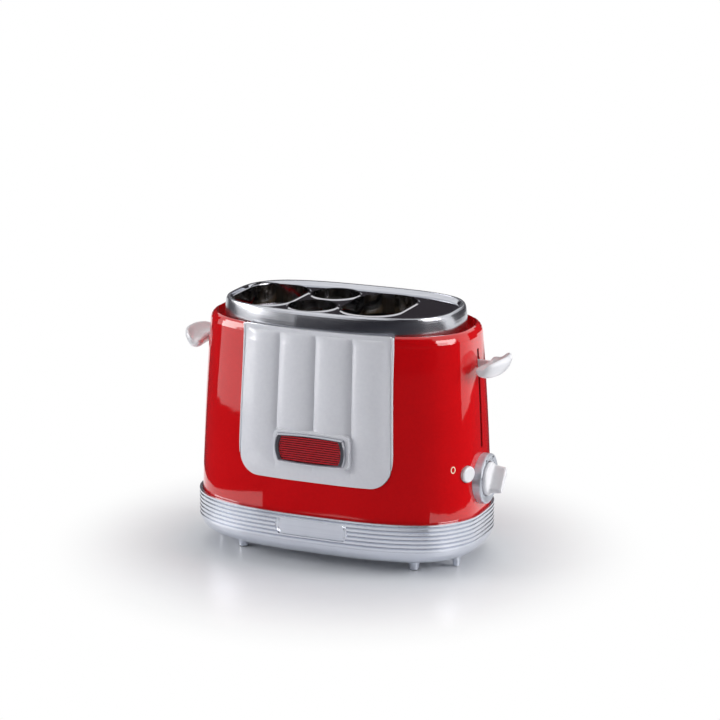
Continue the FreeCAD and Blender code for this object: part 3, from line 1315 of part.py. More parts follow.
def magnet_core():
    """E-shaped core that stands on the chassis plate."""
    web_x = bracket_places(1)[1]
    x0, x1 = web_x - LATCH_LENGTH + 2, web_x - 2
    base, top = chassis_z(), magnet_top_z()
    shape = block(x0, x1, -MAGNET_HALF_WIDTH, MAGNET_HALF_WIDTH, base, top)
    for side in (-1, 1):
        y0, y1 = span(side, MAGNET_LEG, MAGNET_HALF_WIDTH - MAGNET_LEG)
        shape = shape.cut(block(x0 - PAST, x1 + PAST, y0, y1, base + MAGNET_YOKE, top + PAST))
    return shape


def magnet_coil():
    """Winding round the core's middle leg."""
    web_x = bracket_places(1)[1]
    x = web_x - LATCH_LENGTH / 2
    core_half, leg = LATCH_LENGTH / 2 - 2 + BADGE_FIT, MAGNET_LEG + BADGE_FIT
    z0, z1 = chassis_z() + MAGNET_YOKE + SEAT_GAP, magnet_top_z() - 2
    winding = box_outline(core_half + 3.4, MAGNET_HALF_WIDTH - leg - BADGE_FIT, 3.0, flat(z0), x, 0)
    coil = level(winding, z1 - z0)
    return coil.cut(block(x - core_half, x + core_half, -leg, leg, z0 - PAST, z1 + PAST))


def evened(corners, count):
    """Points evenly spaced round the smooth closed curve through some corners."""
    fine = []
    for i, here in enumerate(corners):
        before = corners[i - 1]
        after = corners[(i + 1) % len(corners)]
        beyond = corners[(i + 2) % len(corners)]
        for k in range(FINE_STEPS // len(corners)):
            t = k / (FINE_STEPS // len(corners))
            weights = (-t + 2 * t ** 2 - t ** 3, 2 - 5 * t ** 2 + 3 * t ** 3,
                       t + 4 * t ** 2 - 3 * t ** 3, t ** 3 - t ** 2)
            fine.append(tuple(sum(w * p[axis] for w, p in zip(weights, (before, here, after, beyond))) / 2
                              for axis in (0, 1)))
    run = [0.0]
    for i, here in enumerate(fine):
        run.append(run[-1] + math.dist(here, fine[(i + 1) % len(fine)]))
    points = []
    k = 0
    for j in range(count):
        target = run[-1] * j / count
        while run[k + 1] < target:
            k += 1
        share = (target - run[k]) / (run[k + 1] - run[k])
        points.append(tuple(p + (q - p) * share for p, q in zip(fine[k], fine[(k + 1) % len(fine)])))
    return points


def handle_section(y):
    """Bean-shaped section of the handle bar: full belly, scooped top, raised outer edge."""
    across = abs(y) / HANDLE_HALF_LENGTH
    size = (1 - across ** 3.4) ** (1 / 3.4)
    shift = -HANDLE_SWEEP * across ** 2
    middle_x, middle_z = HANDLE_REACH * 0.52, -1.5
    outline = [(0.0, -1.0), (2.5, -6.2), (9.0, -8.6), (15.0, -6.4), (19.4, 0.2), (20.5, 6.2), (18.4, 8.6),
               (15.2, 6.6), (10.2, 3.0), (4.6, 2.6), (1.0, 1.8)]
    scale = HANDLE_REACH / 20.5
    points = []
    for u, v in evened(outline, SECTION_POINTS):
        du, dv = u * scale - middle_x, v - middle_z
        x = HANDLE_INNER_X + shift + middle_x + du * size
        points.append(Vector(x, y, LEVER_Z + middle_z + dv * size))
    return closed_curve(points)


def lever_handle(side):
    """Moulded bar with a neck that passes through the shell's slot onto the bracket's tongue."""
    stations = [-0.985, -0.93, -0.8, -0.5, 0.0, 0.5, 0.8, 0.93, 0.985]
    bar = loft([handle_section(HANDLE_HALF_LENGTH * s) for s in stations])
    thick, tall = NECK_HALF_THICKNESS, NECK_HALF_HEIGHT
    neck = block(NECK_INNER_X, HANDLE_INNER_X + 5, -thick, thick, LEVER_Z - tall, LEVER_Z + tall)
    thick, tall = TONGUE_HALF_THICKNESS + TONGUE_FIT, TONGUE_HALF_HEIGHT + TONGUE_FIT
    end = NECK_INNER_X + TONGUE_LENGTH + TONGUE_FIT
    socket = block(NECK_INNER_X - PAST, end, -thick, thick, LEVER_Z - tall, LEVER_Z + tall)
    shape = bar.fuse(neck).cut(socket)
    return shape if side > 0 else mirrored(shape)


# ================================================================ dial, button, electrics
def dial_ring():
    """Dished ring round the timer knob, seated on the shell's curved end."""
    back = SHELL_HALF_LENGTH - 6
    profile = [(back, RING_BORE), (RING_FACE_X - RING_DISH, RING_BORE), (RING_FACE_X, RING_RADIUS - 1.6),
               (RING_FACE_X - 0.7, RING_RADIUS - 0.3), (RING_FACE_X - 1.8, RING_RADIUS), (back, RING_RADIUS)]
    ring = turned_x(profile)
    ring.translate(Vector(0, 0, DIAL_Z))
    return ring.cut(shared("shell_outside", lambda: shell_form(0.0)))


def dial_knob():
    """Round knob with a raised bar grip and a pointer groove, bored for the shaft."""
    profile = [(KNOB_BACK_X, 0), (KNOB_FACE_X, 0), (KNOB_FACE_X, KNOB_RADIUS - 1.2),
               (KNOB_FACE_X - 1.2, KNOB_RADIUS), (KNOB_BACK_X, KNOB_RADIUS)]
    disc = turned_x(profile)
    half, thick = GRIP_LENGTH / 2, GRIP_THICKNESS / 2
    foot_wire = box_outline(thick, half, thick * 0.9, crosswise(KNOB_FACE_X - 1))
    top_wire = box_outline(thick - 1.2, half - 1.4, (thick - 1.2) * 0.9, crosswise(GRIP_FACE_X))
    grip = loft([foot_wire, top_wire], True)
    groove = block(GRIP_FACE_X - 0.6, GRIP_FACE_X + 1, -0.5, 0.5, half - 9, half)
    shape = disc.fuse(grip).cut(groove)
    shape.rotate(Vector(0, 0, 0), Vector(1, 0, 0), GRIP_ANGLE)
    shape = shape.cut(rod_x(DIAL_SHAFT_RADIUS + ROD_SEAT, KNOB_BACK_X - PAST, SHAFT_TIP_X, 0, 0))
    shape.translate(Vector(0, 0, DIAL_Z))
    return shape


def dial_shaft():
    """Timer shaft with a flat at its tip."""
    return rod_x(DIAL_SHAFT_RADIUS, TIMER_BODY_X + SHAFT_INSET, SHAFT_TIP_X - 0.1, 0, DIAL_Z)


def timer_body():
    """Rotary control behind its bracket, with the bush that the shaft turns in."""
    back, face = TIMER_BODY_X, TIMER_BRACKET_X - 0.01
    bush_end = TIMER_BRACKET_X + TIMER_BRACKET_SHEET + BUSH_LENGTH
    body = rod_x(TIMER_BODY_RADIUS, back, face, 0, DIAL_Z)
    body = body.fuse(rod_x(BUSH_RADIUS, back, bush_end, 0, DIAL_Z))
    room_start = back + SHAFT_INSET - SHAFT_RUNNING
    return body.cut(rod_x(DIAL_SHAFT_RADIUS + SHAFT_RUNNING, room_start, bush_end + PAST, 0, DIAL_Z))


def timer_bracket():
    """Angle bracket on the chassis plate that carries the timer."""
    half = TIMER_BRACKET_HALF_WIDTH
    top = DIAL_Z + TIMER_BODY_RADIUS + 2
    x1 = TIMER_BRACKET_X + TIMER_BRACKET_SHEET
    base = chassis_z()
    shape = block(TIMER_BRACKET_X, x1, -half, half, base, top)
    shape = shape.fuse(block(TIMER_BRACKET_X - TIMER_BRACKET_FOOT, x1,
                             -half, half, base, base + TIMER_BRACKET_SHEET))
    return shape.cut(rod_x(BUSH_RADIUS + 0.05, TIMER_BRACKET_X - PAST, x1 + PAST, 0, DIAL_Z))


def stop_button():
    """Round push button with a domed edge and a retaining flange inside the shell."""
    back = -SHELL_WALL - BUTTON_FLANGE_DEPTH
    shape = turned_x([(back, 0), (BUTTON_PROUD, 0), (BUTTON_PROUD, BUTTON_RADIUS - 1.2),
                      (BUTTON_PROUD - 1.0, BUTTON_RADIUS), (back, BUTTON_RADIUS)])
    shape = shape.fuse(rod_x(BUTTON_FLANGE, back - BUTTON_FLANGE_SHEET, back, 0, 0))
    shape.rotate(Vector(0, 0, 0), Vector(0, 0, 1), BUTTON_TURN)
    shape.translate(button_axis()[0])
    return shape


def stop_switch():
    """Small push switch behind the button, on a post from the chassis plate."""
    half = SWITCH_HALF
    face = -SHELL_WALL - BUTTON_FLANGE_DEPTH - BUTTON_FLANGE_SHEET - BUTTON_TRAVEL - 0.4
    body = block(face - half, face, -half, half, -half, half)
    body = body.fuse(block(face - half, face - half + FRAME_SHEET,
                           1 - half, half - 1, chassis_z() - BUTTON_Z, 0))
    body.rotate(Vector(0, 0, 0), Vector(0, 0, 1), BUTTON_TURN)
    body.translate(button_axis()[0])
    return body


def control_board():
    """Circuit board on edge in the control end, slotted against the end frame."""
    left = CHAMBER_RIGHT_X + SEAT_GAP + FRAME_SHEET + SEAT_GAP
    bottom = chassis_z() + FRAME_SHEET + SEAT_GAP / 2
    return block(left, BOARD_RIGHT_X, BOARD_Y, BOARD_Y + BOARD_THICKNESS, bottom, BOARD_TOP_Z)


def board_parts():
    """Relay, capacitor and terminal block on the board's outer face."""
    x, y, z = BOARD_RIGHT_X, BOARD_Y + BOARD_THICKNESS, BOARD_TOP_Z
    parts = [block(x - near - long, x - near, y, y + deep, z - down - tall, z - down)
             for near, long, deep, down, tall in BOARD_BLOCKS]
    across, down, radius, height = CAPACITOR
    middle = Vector(x - across, y, z - down)
    return Part.makeCompound(parts + [rod(radius, middle, middle + Vector(0, height, 0))])


def gland_wall_y():
    """Y of the outside of the base's rear wall at the gland."""
    return BASE_HALF_WIDTH * (1 - (GLAND_X / BASE_HALF_LENGTH) ** BASE_SQUARE) ** (1 / BASE_SQUARE)


def cord_gland():
    """Bush in the rear of the base that the mains lead passes through."""
    outer = gland_wall_y() + 0.5
    inner = outer - GLAND_LENGTH
    spans = [(GLAND_RADIUS - BADGE_FIT, inner, outer), (GLAND_FLANGE, inner, inner + GLAND_FLANGE_THICKNESS),
             (GLAND_BORE, inner - PAST, outer + PAST)]
    body, flange, bore = [rod(r, Vector(GLAND_X, y0, GLAND_Z), Vector(GLAND_X, y1, GLAND_Z))
                          for r, y0, y1 in spans]
    return body.fuse(flange).cut(bore)


# ================================================================ export
def all_pieces():
    """Every piece by node name."""
    pieces = {
        "outer_shell": outer_shell(),
        "front_panel": front_panel(),
        "badge_bezel": badge_bezel(),
        "badge_insert": badge_insert(),
        "top_plate": top_plate(),
        "slot_collars": slot_collars(),
        "base_housing": base_housing(),
        "name_plate": name_plate(),
        "bottom_cover": bottom_cover(),
        "cover_screws": cover_screws(),
        "foot_pads": foot_pads(),
        "prop_feet": prop_feet(),
        "crumb_tray": crumb_tray(),
        "tray_grip": tray_grip(),
        "chassis_plate": chassis_plate(),
        "guide_rods": guide_rods(),
        "cage_bridge": cage_bridge(),
        "carriage_bar": carriage_bar(),
        "sausage_lift": sausage_lift(),
        "latch_plate": latch_plate(),
        "magnet_core": magnet_core(),
        "magnet_coil": magnet_coil(),
        "dial_ring": dial_ring(),
        "dial_knob": dial_knob(),
        "dial_shaft": dial_shaft(),
        "timer_body": timer_body(),
        "timer_bracket": timer_bracket(),
        "stop_button": stop_button(),
        "stop_switch": stop_switch(),
        "control_board": control_board(),
        "board_parts": board_parts(),
        "cord_gland": cord_gland(),
    }
    for side, name in ((-1, "front"), (1, "rear")):
        pieces["reflector_" + name] = reflector(side)
        pieces["sausage_cage_" + name] = sausage_cage(side)
        for sx, end in ((-1, "left"), (1, "right")):
            pieces["foot_%s_%s" % (name, end)] = foot(sx * FOOT_X, side * FOOT_Y,
                                                      FOOT_TOP_RADIUS, FOOT_BOTTOM_RADIUS)
    for side, name, slot_x in ((-1, "left", LEFT_SLOT_X), (1, "right", RIGHT_SLOT_X)):
        pieces["end_frame_" + name] = end_frame(side)
        pieces["carriage_bracket_" + name] = carriage_bracket(side)
        pieces["lift_spring_" + name] = lift_spring(side)
        pieces["lever_handle_" + name] = lever_handle(side)
        pieces["bun_guard_" + name] = bun_guard(slot_x)
        pieces["bun_lift_" + name] = bun_lift(slot_x)
    facing = {"left_outer": 1, "left_inner": -1, "right_inner": 1, "right_outer": -1}
    for name, x in heater_places().items():
        pieces["heater_board_" + name] = heater_board(x)
        pieces["heater_ribbon_" + name] = heater_ribbon(x, facing[name])
    return pieces


os.makedirs("parts", exist_ok=True)
for node, shape in all_pieces().items():
    shape.exportStep("parts/%s.step" % node)
    state = "valid" if shape.isValid() else "NOT VALID"
    print(node, len(shape.Solids), state, round(shape.Volume / 1000, 2))
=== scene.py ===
"""Looks of a hot dog toaster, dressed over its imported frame. All lengths are in metres."""

import json
import logging
import math
from dataclasses import dataclass, field
from enum import Enum
from typing import Callable, Dict, Mapping, Optional, Sequence, Tuple, Union

import bpy
from mathutils import Matrix, Vector

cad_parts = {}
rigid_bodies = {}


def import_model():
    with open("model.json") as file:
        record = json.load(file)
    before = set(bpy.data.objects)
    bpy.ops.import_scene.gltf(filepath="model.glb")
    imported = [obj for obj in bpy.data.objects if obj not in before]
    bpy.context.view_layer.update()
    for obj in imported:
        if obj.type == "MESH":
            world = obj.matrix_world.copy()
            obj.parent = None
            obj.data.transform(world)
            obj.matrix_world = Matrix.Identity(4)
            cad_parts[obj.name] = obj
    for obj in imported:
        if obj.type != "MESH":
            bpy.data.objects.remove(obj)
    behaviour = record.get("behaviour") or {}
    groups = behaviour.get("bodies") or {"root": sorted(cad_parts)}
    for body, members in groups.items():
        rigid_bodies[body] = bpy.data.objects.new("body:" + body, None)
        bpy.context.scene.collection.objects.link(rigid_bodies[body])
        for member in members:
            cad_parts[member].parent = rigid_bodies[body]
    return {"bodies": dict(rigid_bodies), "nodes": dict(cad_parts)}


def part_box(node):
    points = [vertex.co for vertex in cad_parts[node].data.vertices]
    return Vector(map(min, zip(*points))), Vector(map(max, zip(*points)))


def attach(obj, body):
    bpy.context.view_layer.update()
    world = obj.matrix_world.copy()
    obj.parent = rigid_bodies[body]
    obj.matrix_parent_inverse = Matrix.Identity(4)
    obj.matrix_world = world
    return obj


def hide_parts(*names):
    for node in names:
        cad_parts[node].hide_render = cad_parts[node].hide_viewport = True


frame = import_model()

LOG = logging.getLogger("toaster")

Colour = Tuple[float, float, float]
Amount = Union["Wire", float]


def ink(red: int, green: int, blue: int) -> Colour:
    """Turn a screen colour of 0 to 255 into linear light.

    Args:
        red: Red on the screen.
        green: Green on the screen.
        blue: Blue on the screen.

    Returns:
        The same colour as three linear values.
    """

    def linear(value: int) -> float:
        """Undo the screen's curve for one value."""
        share = value / 255
        return share / 12.92 if share <= 0.04045 else ((share + 0.055) / 1.055) ** 2.4

    return linear(red), linear(green), linear(blue)


class Wire:
    """A shader socket that takes part in plain arithmetic."""

    def __init__(self, bench: "Bench", socket: bpy.types.NodeSocket) -> None:
        """Hold one output socket of a bench."""
        self.bench = bench
        self.socket = socket

    def maths(self, operation: str, *others: Amount) -> "Wire":
        """Run one Math node on this socket and others.

        Args:
            operation: Name of the Math node's operation.
            others: The further inputs, in order.

        Returns:
            The result.
        """
        inputs = dict(enumerate((self, *others)))
        return self.bench.node("ShaderNodeMath", {"operation": operation}, inputs)

    def __add__(self, other: Amount) -> "Wire":
        """Add."""
        return self.maths("ADD", other)

    __radd__ = __add__

    def __sub__(self, other: Amount) -> "Wire":
        """Subtract."""
        return self.maths("SUBTRACT", other)

    def __rsub__(self, other: float) -> "Wire":
        """Subtract this from a number."""
        return self.maths("MULTIPLY_ADD", -1.0, other)

    def __mul__(self, other: Amount) -> "Wire":
        """Multiply."""
        return self.maths("MULTIPLY", other)

    __rmul__ = __mul__

    def __truediv__(self, other: Amount) -> "Wire":
        """Divide."""
        return self.maths("DIVIDE", other)

    def __pow__(self, other: Amount) -> "Wire":
        """Raise to a power."""
        return self.maths("POWER", other)

    def __abs__(self) -> "Wire":
        """Drop the sign."""
        return self.maths("ABSOLUTE")

    def step(self, low: float, high: float) -> "Wire":
        """Ease from 0 at the low value to 1 at the high one."""
        settings = {"interpolation_type": "SMOOTHSTEP"}
        return self.bench.node("ShaderNodeMapRange", settings, {0: self, 1: low, 2: high})


class Bench:
    """The node tree of one material while it is being built."""

    def __init__(self, tree: bpy.types.NodeTree) -> None:
        """Clear a tree and start on it."""
        self.tree = tree
        self.tree.nodes.clear()

    def node(
        self,
        kind: str,
        settings: Optional[Mapping[str, object]] = None,
        inputs: Optional[Mapping[Union[int, str], object]] = None,
        out: Union[int, str] = 0,
    ) -> Wire:
        """Add one node, set it, and fill or link its sockets.

        Args:
            kind: The node's type.
            settings: Its settings; "stops" holds a ramp's positions and colours.
            inputs: Values or wires by socket name or number.
            out: The output that is wanted.

        Returns:
            That output.
        """
        made = self.tree.nodes.new(kind)
        for key, value in (settings or {}).items():
            if key == "stops":
                self._stops(made, value)
            else:
                setattr(made, key, value)
        for key, value in (inputs or {}).items():
            if isinstance(value, Wire):
                self.tree.links.new(value.socket, made.inputs[key])
            else:
                made.inputs[key].default_value = value
        return Wire(self, made.outputs[out]) if len(made.outputs) else None

    @staticmethod
    def _stops(ramp: bpy.types.Node, stops: Sequence[Tuple[float, Colour]]) -> None:
        """Write a ramp's stops.

        Args:
            ramp: The ramp node.
            stops: Positions and colours, in order.
        """
        elements = ramp.color_ramp.elements
        while len(elements) < len(stops):
            elements.new(0.5)
        for element, (place, colour) in zip(elements, stops):
            element.position = place
            element.color = (*colour, 1.0)

    def place(self) -> Wire:
        """Give the object's own coordinates."""
        return self.node("ShaderNodeTexCoord", out="Object")

    def axis(self, name: str) -> Wire:
        """Give one of the object's coordinates, in metres."""
        return self.node("ShaderNodeSeparateXYZ", inputs={0: self.place()}, out=name)

    def stretched(self, scale: Tuple[float, float, float]) -> Wire:
        """Give the object's coordinates with each axis scaled by itself."""
        return self.node("ShaderNodeMapping", inputs={"Vector": self.place(), "Scale": scale})

    def noise(self, scale: float, detail: float = 3.0, along: Optional[Wire] = None) -> Wire:
        """Give noise round 0.5.

        Args:
            scale: Lumps per metre.
            detail: Octaves.
            along: Coordinates other than the object's own.

        Returns:
            The noise value.
        """
        inputs = {"Vector": along or self.place(), "Scale": scale, "Detail": detail}
        return self.node("ShaderNodeTexNoise", inputs=inputs)

    def cells(self, scale: float, feature: str = "F1", out: str = "Distance") -> Wire:
        """Give a cell pattern.

        Args:
            scale: Cells per metre.
            feature: Which distance the cells measure.
            out: The output that is wanted.

        Returns:
            That output.
        """
        inputs = {"Vector": self.place(), "Scale": scale}
        return self.node("ShaderNodeTexVoronoi", {"feature": feature}, inputs, out)

    def mixed(self, share: Amount, first: object, second: object) -> Wire:
        """Blend two colours.

        Args:
            share: 0 for the first, 1 for the second.
            first: A colour or a wire.
            second: A colour or a wire.

        Returns:
            The blended colour.
        """
        inputs = {0: share}
        for key, value in ((6, first), (7, second)):
            inputs[key] = value if isinstance(value, Wire) else (*value, 1.0)
        return self.node("ShaderNodeMix", {"data_type": "RGBA"}, inputs, 2)

    def raised(self, height: Wire, depth: float, strength: float = 1.0) -> Wire:
        """Turn a height into a bumped normal.

        Args:
            height: The height, 0 to 1.
            depth: What 1 stands for, in metres.
            strength: How much of it shows.

        Returns:
            The normal.
        """
        inputs = {"Height": height, "Distance": depth, "Strength": strength}
        return self.node("ShaderNodeBump", inputs=inputs)


class Grain(Enum):
    """How a finish is worked."""

    LACQUER = "lacquer"
    MOULDED = "moulded"
    SILVERED = "silvered"
    HAIRLINE = "hairline"
    DRAWN = "drawn"
    SPANGLED = "spangled"
    FLAKED = "flaked"
    WOUND = "wound"
    ETCHED = "etched"
    MIRROR = "mirror"


@dataclass(frozen=True)
class Finish:
    """One finish: its plain values and the way it is worked.

    Attributes:
        name: Its name.
        colour: Its main colour.
        shade: The colour that it drifts to.
        grain: How it is worked.
        roughness: Its mean roughness.
        swing: How far the roughness drifts each way.
        metallic: 1 for bare metal.
        coat: Weight of a clear coat.
        depth: Depth of its relief.
        pitch: Lumps of relief per metre.
        taken_from: The record's slot, where it isn't the name.
    """

    name: str
    colour: Colour
    shade: Colour
    grain: Grain
    roughness: float
    swing: float = 0.04
    metallic: float = 0.0
    coat: float = 0.0
    depth: float = 0.00002
    pitch: float = 900.0
    taken_from: str = ""

    @property
    def slot(self) -> str:
        """Give the record's slot that this finish belongs to."""
        return self.taken_from or self.name

    def relief(self, bench: Bench) -> Wire:
        """Give the height of the surface's own relief.

        Args:
            bench: The tree that it is built in.

        Returns:
            The height, 0 to 1.
        """
        long_grain = {
            Grain.HAIRLINE: (8.0, 700.0, 700.0),
            Grain.DRAWN: (220.0, 220.0, 12.0),
        }
        if self.grain in long_grain:
            stretched = bench.stretched(long_grain[self.grain])
            return bench.noise(1.0, 4.0, stretched)
        if self.grain is Grain.SPANGLED:
            return bench.cells(self.pitch, out="Distance")
        if self.grain is Grain.FLAKED:
            return bench.noise(self.pitch, 6.0, bench.stretched((1.0, 1.0, 0.35)))
        if self.grain is Grain.WOUND:
            turns = (bench.axis("Z") * (math.tau * self.pitch)).maths("SINE")
            return turns * 0.5 + 0.5
        if self.grain is Grain.ETCHED:
            return bench.cells(self.pitch, "DISTANCE_TO_EDGE").step(0.02, 0.06)
        return bench.noise(self.pitch, 2.0)

    def surface(self, bench: Bench) -> Dict[str, object]:
        """Give the shader's sockets that this finish fills.

        Args:
            bench: The tree that it is built in.

        Returns:
            Values or wires by socket name.
        """
        relief = self.relief(bench)
        drift = bench.noise(28.0, 3.0)
        wear = (drift - 0.5) * 2.0
        tint = (relief * 0.6 + drift * 0.4).step(0.3, 0.75)
        return {
            "Base Color": bench.mixed(tint, self.colour, self.shade),
            "Roughness": wear * self.swing + self.roughness,
            "Metallic": self.metallic,
            "Coat Weight": self.coat,
            "Coat Roughness": 0.04,
            "Normal": bench.raised(relief, self.depth),
        }

    def made(self) -> bpy.types.Material:
        """Build the material, or give the one that is already there.

        Returns:
            The material.
        """
        known = bpy.data.materials.get(self.name)
        if known:
            return known
        material = bpy.data.materials.new(self.name)
        material.use_nodes = True
        bench = Bench(material.node_tree)
        shader = bench.node("ShaderNodeBsdfPrincipled", inputs=self.surface(bench))
        bench.node("ShaderNodeOutputMaterial", inputs={"Surface": shader})
        return material


@dataclass(frozen=True)
class TopPlateFinish(Finish):
    """Pressed plate: a mirror-bright flat inside a satin, drawn rim.

    Attributes:
        half_length: Half the length of the flat.
        half_width: Half its width.
        roundness: Exponent of its superellipse.
        edge: Where the flat gives way to the rim, as a value of the superellipse.
        flat_roughness: Roughness of the flat.
    """

    half_length: float = 0.1052
    half_width: float = 0.0540
    roundness: float = 2.95
    edge: Tuple[float, float] = (0.96, 1.04)
    flat_roughness: float = 0.05

    def surface(self, bench: Bench) -> Dict[str, object]:
        """Polish the flat and leave the rim satin.

        Args:
            bench: The tree that it is built in.

        Returns:
            Values or wires by socket name.
        """
        sockets = super().surface(bench)
        along = abs(bench.axis("X") / self.half_length) ** self.roundness
        across = abs(bench.axis("Y") / self.half_width) ** self.roundness
        rim = (along + across).step(*self.edge)
        rough = sockets["Roughness"]
        sockets["Roughness"] = rim * (rough - self.flat_roughness) + self.flat_roughness
        return sockets


@dataclass(frozen=True)
class ShellFinish(Finish):
    """Gloss lacquer outside and bare sheet on the shell's inner side.

    Attributes:
        foot: Height at which the shell's taper starts.
        shoulder: Height at which it ends.
        half_length: Half the length inside at the foot, its taper and its bend.
        half_width: The same for half the width.
        squareness: Exponent of the superellipse at the foot and how much it loses.
        edge: Where the inner side ends, as a value of the superellipse.
        top: Heights between which the bare sheet ends under the deck.
        bare: Colour of the bare sheet.
        bare_roughness: How much rougher it is than the lacquer.
        bare_metallic: How metallic it is.
    """

    foot: float = 0.0497
    shoulder: float = 0.205
    half_length: Tuple[float, float, float] = (0.13175, 0.0036, 0.0038)
    half_width: Tuple[float, float, float] = (0.07375, 0.0012, 0.0076)
    squareness: Tuple[float, float] = (2.8, 0.15)
    edge: Tuple[float, float] = (0.985, 1.01)
    top: Tuple[float, float] = (0.2049, 0.2053)
    bare: Colour = ink(112, 113, 115)
    bare_roughness: float = 0.45
    bare_metallic: float = 0.8

    def inner(self, bench: Bench) -> Wire:
        """Give 1 on the inner side and 0 outside.

        Args:
            bench: The tree that it is built in.

        Returns:
            The mask.
        """
        height = bench.axis("Z")
        share = (height - self.foot) / (self.shoulder - self.foot)
        length, width = (
            share * share * -bend + share * -taper + start
            for start, taper, bend in (self.half_length, self.half_width)
        )
        power = share * -self.squareness[1] + self.squareness[0]
        along = (abs(bench.axis("X")) / length) ** power
        across = (abs(bench.axis("Y")) / width) ** power
        return (1.0 - (along + across).step(*self.edge)) * (1.0 - height.step(*self.top))

    def surface(self, bench: Bench) -> Dict[str, object]:
        """Leave the inner side unpainted.

        Args:
            bench: The tree that it is built in.

        Returns:
            Values or wires by socket name.
        """
        sockets = super().surface(bench)
        inner = self.inner(bench)
        sockets["Base Color"] = bench.mixed(inner, sockets["Base Color"], self.bare)
        sockets["Roughness"] = inner * self.bare_roughness + sockets["Roughness"]
        sockets["Metallic"] = inner * self.bare_metallic
        sockets["Coat Weight"] = (1.0 - inner) * self.coat
        return sockets


@dataclass(frozen=True)
class RibbedFinish(Finish):
    """Moulded plastic whose level ribs have painted shade in their valleys.

    Attributes:
        valley: Height of one valley.
        pitch_up: Height from one rib to the next.
        dark: Colour of the painted shade in the valleys.
        edge: Where the painted valley shade starts and is darkest, on a wave of -1 to 1.
    """

    valley: float = 0.097175
    pitch_up: float = 0.00205
    dark: Colour = ink(84, 0, 10)
    edge: Tuple[float, float] = (-0.35, 0.75)

    def surface(self, bench: Bench) -> Dict[str, object]:
        """Paint shade into the valleys between the ribs.

        Args:
            bench: The tree that it is built in.

        Returns:
            Values or wires by socket name.
        """
        sockets = super().surface(bench)
        # Painted shade: the base colour darkens in each valley between the ribs, where shade would
        # fall.
        wave = ((bench.axis("Z") - self.valley) * (math.tau / self.pitch_up)).maths("COSINE")
        valley_shade_share = wave.step(*self.edge)
        sockets["Base Color"] = bench.mixed(valley_shade_share, sockets["Base Color"], self.dark)
        return sockets


RED = ShellFinish(
    "shell_red", ink(202, 9, 15), ink(194, 7, 13), Grain.LACQUER,
    roughness=0.045, swing=0.01, coat=0.7, depth=0.000002, pitch=420.0,
)
WHITE_PANEL = Finish(
    "panel_white", ink(221, 222, 228), ink(216, 217, 224), Grain.MOULDED,
    roughness=0.2, swing=0.03, coat=0.6, depth=0.000004, pitch=300.0,
)
WHITE_CONTROL = Finish(
    "control_white", ink(222, 222, 225), ink(217, 217, 221), Grain.MOULDED,
    roughness=0.34, coat=0.15, depth=0.000003, pitch=500.0,
)
TOP_PLATE = TopPlateFinish(
    "bright_plate", ink(208, 210, 216), ink(194, 196, 204), Grain.HAIRLINE,
    roughness=0.25, swing=0.03, metallic=1.0, depth=0.000002,
)
COLLARS = Finish(
    "bright_collars", ink(206, 206, 210), ink(190, 190, 196), Grain.HAIRLINE,
    roughness=0.1, swing=0.03, metallic=1.0, depth=0.000002, taken_from="bright_plate",
)
BEZEL = Finish(
    "bezel_chrome", ink(186, 188, 196), ink(170, 172, 182), Grain.MIRROR,
    roughness=0.3, swing=0.03, metallic=1.0, depth=0.000002,
)
# The valleys between this insert's ribs carry painted shade from RibbedFinish.
INSERT_RED = RibbedFinish(
    "insert_red", ink(190, 10, 30), ink(176, 8, 26), Grain.MOULDED,
    roughness=0.26, coat=0.15, depth=0.000002, pitch=300.0,
)
SILVER = Finish(
    "base_silver", ink(220, 224, 233), ink(208, 212, 222), Grain.SILVERED,
    roughness=0.2, swing=0.03, metallic=0.9, coat=0.3, depth=0.000004, pitch=2600.0,
)
PLATE_BRIGHT = Finish(
    "plate_bright", ink(214, 217, 225), ink(204, 208, 217), Grain.MIRROR,
    roughness=0.2, swing=0.02, metallic=1.0, depth=0.000002, taken_from="plate_silver",
)
RING_SILVER = Finish(
    "ring_silver", ink(206, 210, 218), ink(190, 194, 204), Grain.HAIRLINE,
    roughness=0.36, metallic=0.6, depth=0.000004, taken_from="base_silver",
)
PLATE_SILVER = Finish(
    "plate_silver", ink(212, 216, 226), ink(202, 206, 217), Grain.HAIRLINE,
    roughness=0.3, swing=0.05, metallic=0.35, coat=0.3, depth=0.000004,
)
UNDERSIDE = Finish(
    "underside_grey", ink(150, 153, 158), ink(132, 135, 141), Grain.MOULDED,
    roughness=0.55, swing=0.06, depth=0.00004, pitch=1500.0,
)
RUBBER = Finish(
    "pad_rubber", ink(120, 122, 126), ink(96, 98, 102), Grain.MOULDED,
    roughness=0.8, swing=0.06, depth=0.00005, pitch=2200.0,
)
ZINC = Finish(
    "zinc_steel", ink(178, 182, 186), ink(150, 156, 160), Grain.SPANGLED,
    roughness=0.36, swing=0.1, metallic=1.0, depth=0.00001, pitch=160.0,
)
REFLECTOR = Finish(
    "reflector_steel", ink(190, 186, 178), ink(150, 138, 122), Grain.DRAWN,
    roughness=0.3, swing=0.1, metallic=1.0, depth=0.00001,
)
WIRE = Finish(
    "wire_steel", ink(176, 174, 170), ink(142, 132, 118), Grain.DRAWN,
    roughness=0.28, swing=0.08, metallic=1.0, depth=0.00001,
)
MICA = Finish(
    "mica", ink(186, 168, 138), ink(132, 112, 84), Grain.FLAKED,
    roughness=0.42, swing=0.12, coat=0.3, depth=0.00006, pitch=240.0,
)
RIBBON = Finish(
    "ribbon", ink(120, 112, 108), ink(78, 70, 68), Grain.DRAWN,
    roughness=0.46, swing=0.1, metallic=1.0,
)
MAGNET = Finish(
    "magnet_iron", ink(96, 98, 102), ink(64, 66, 70), Grain.WOUND,
    roughness=0.4, swing=0.08, metallic=1.0, depth=0.00005, pitch=1400.0,
)
COPPER = Finish(
    "copper_coil", ink(184, 98, 52), ink(128, 60, 30), Grain.WOUND,
    roughness=0.3, swing=0.05, metallic=1.0, coat=0.3, depth=0.0001, pitch=2200.0,
)
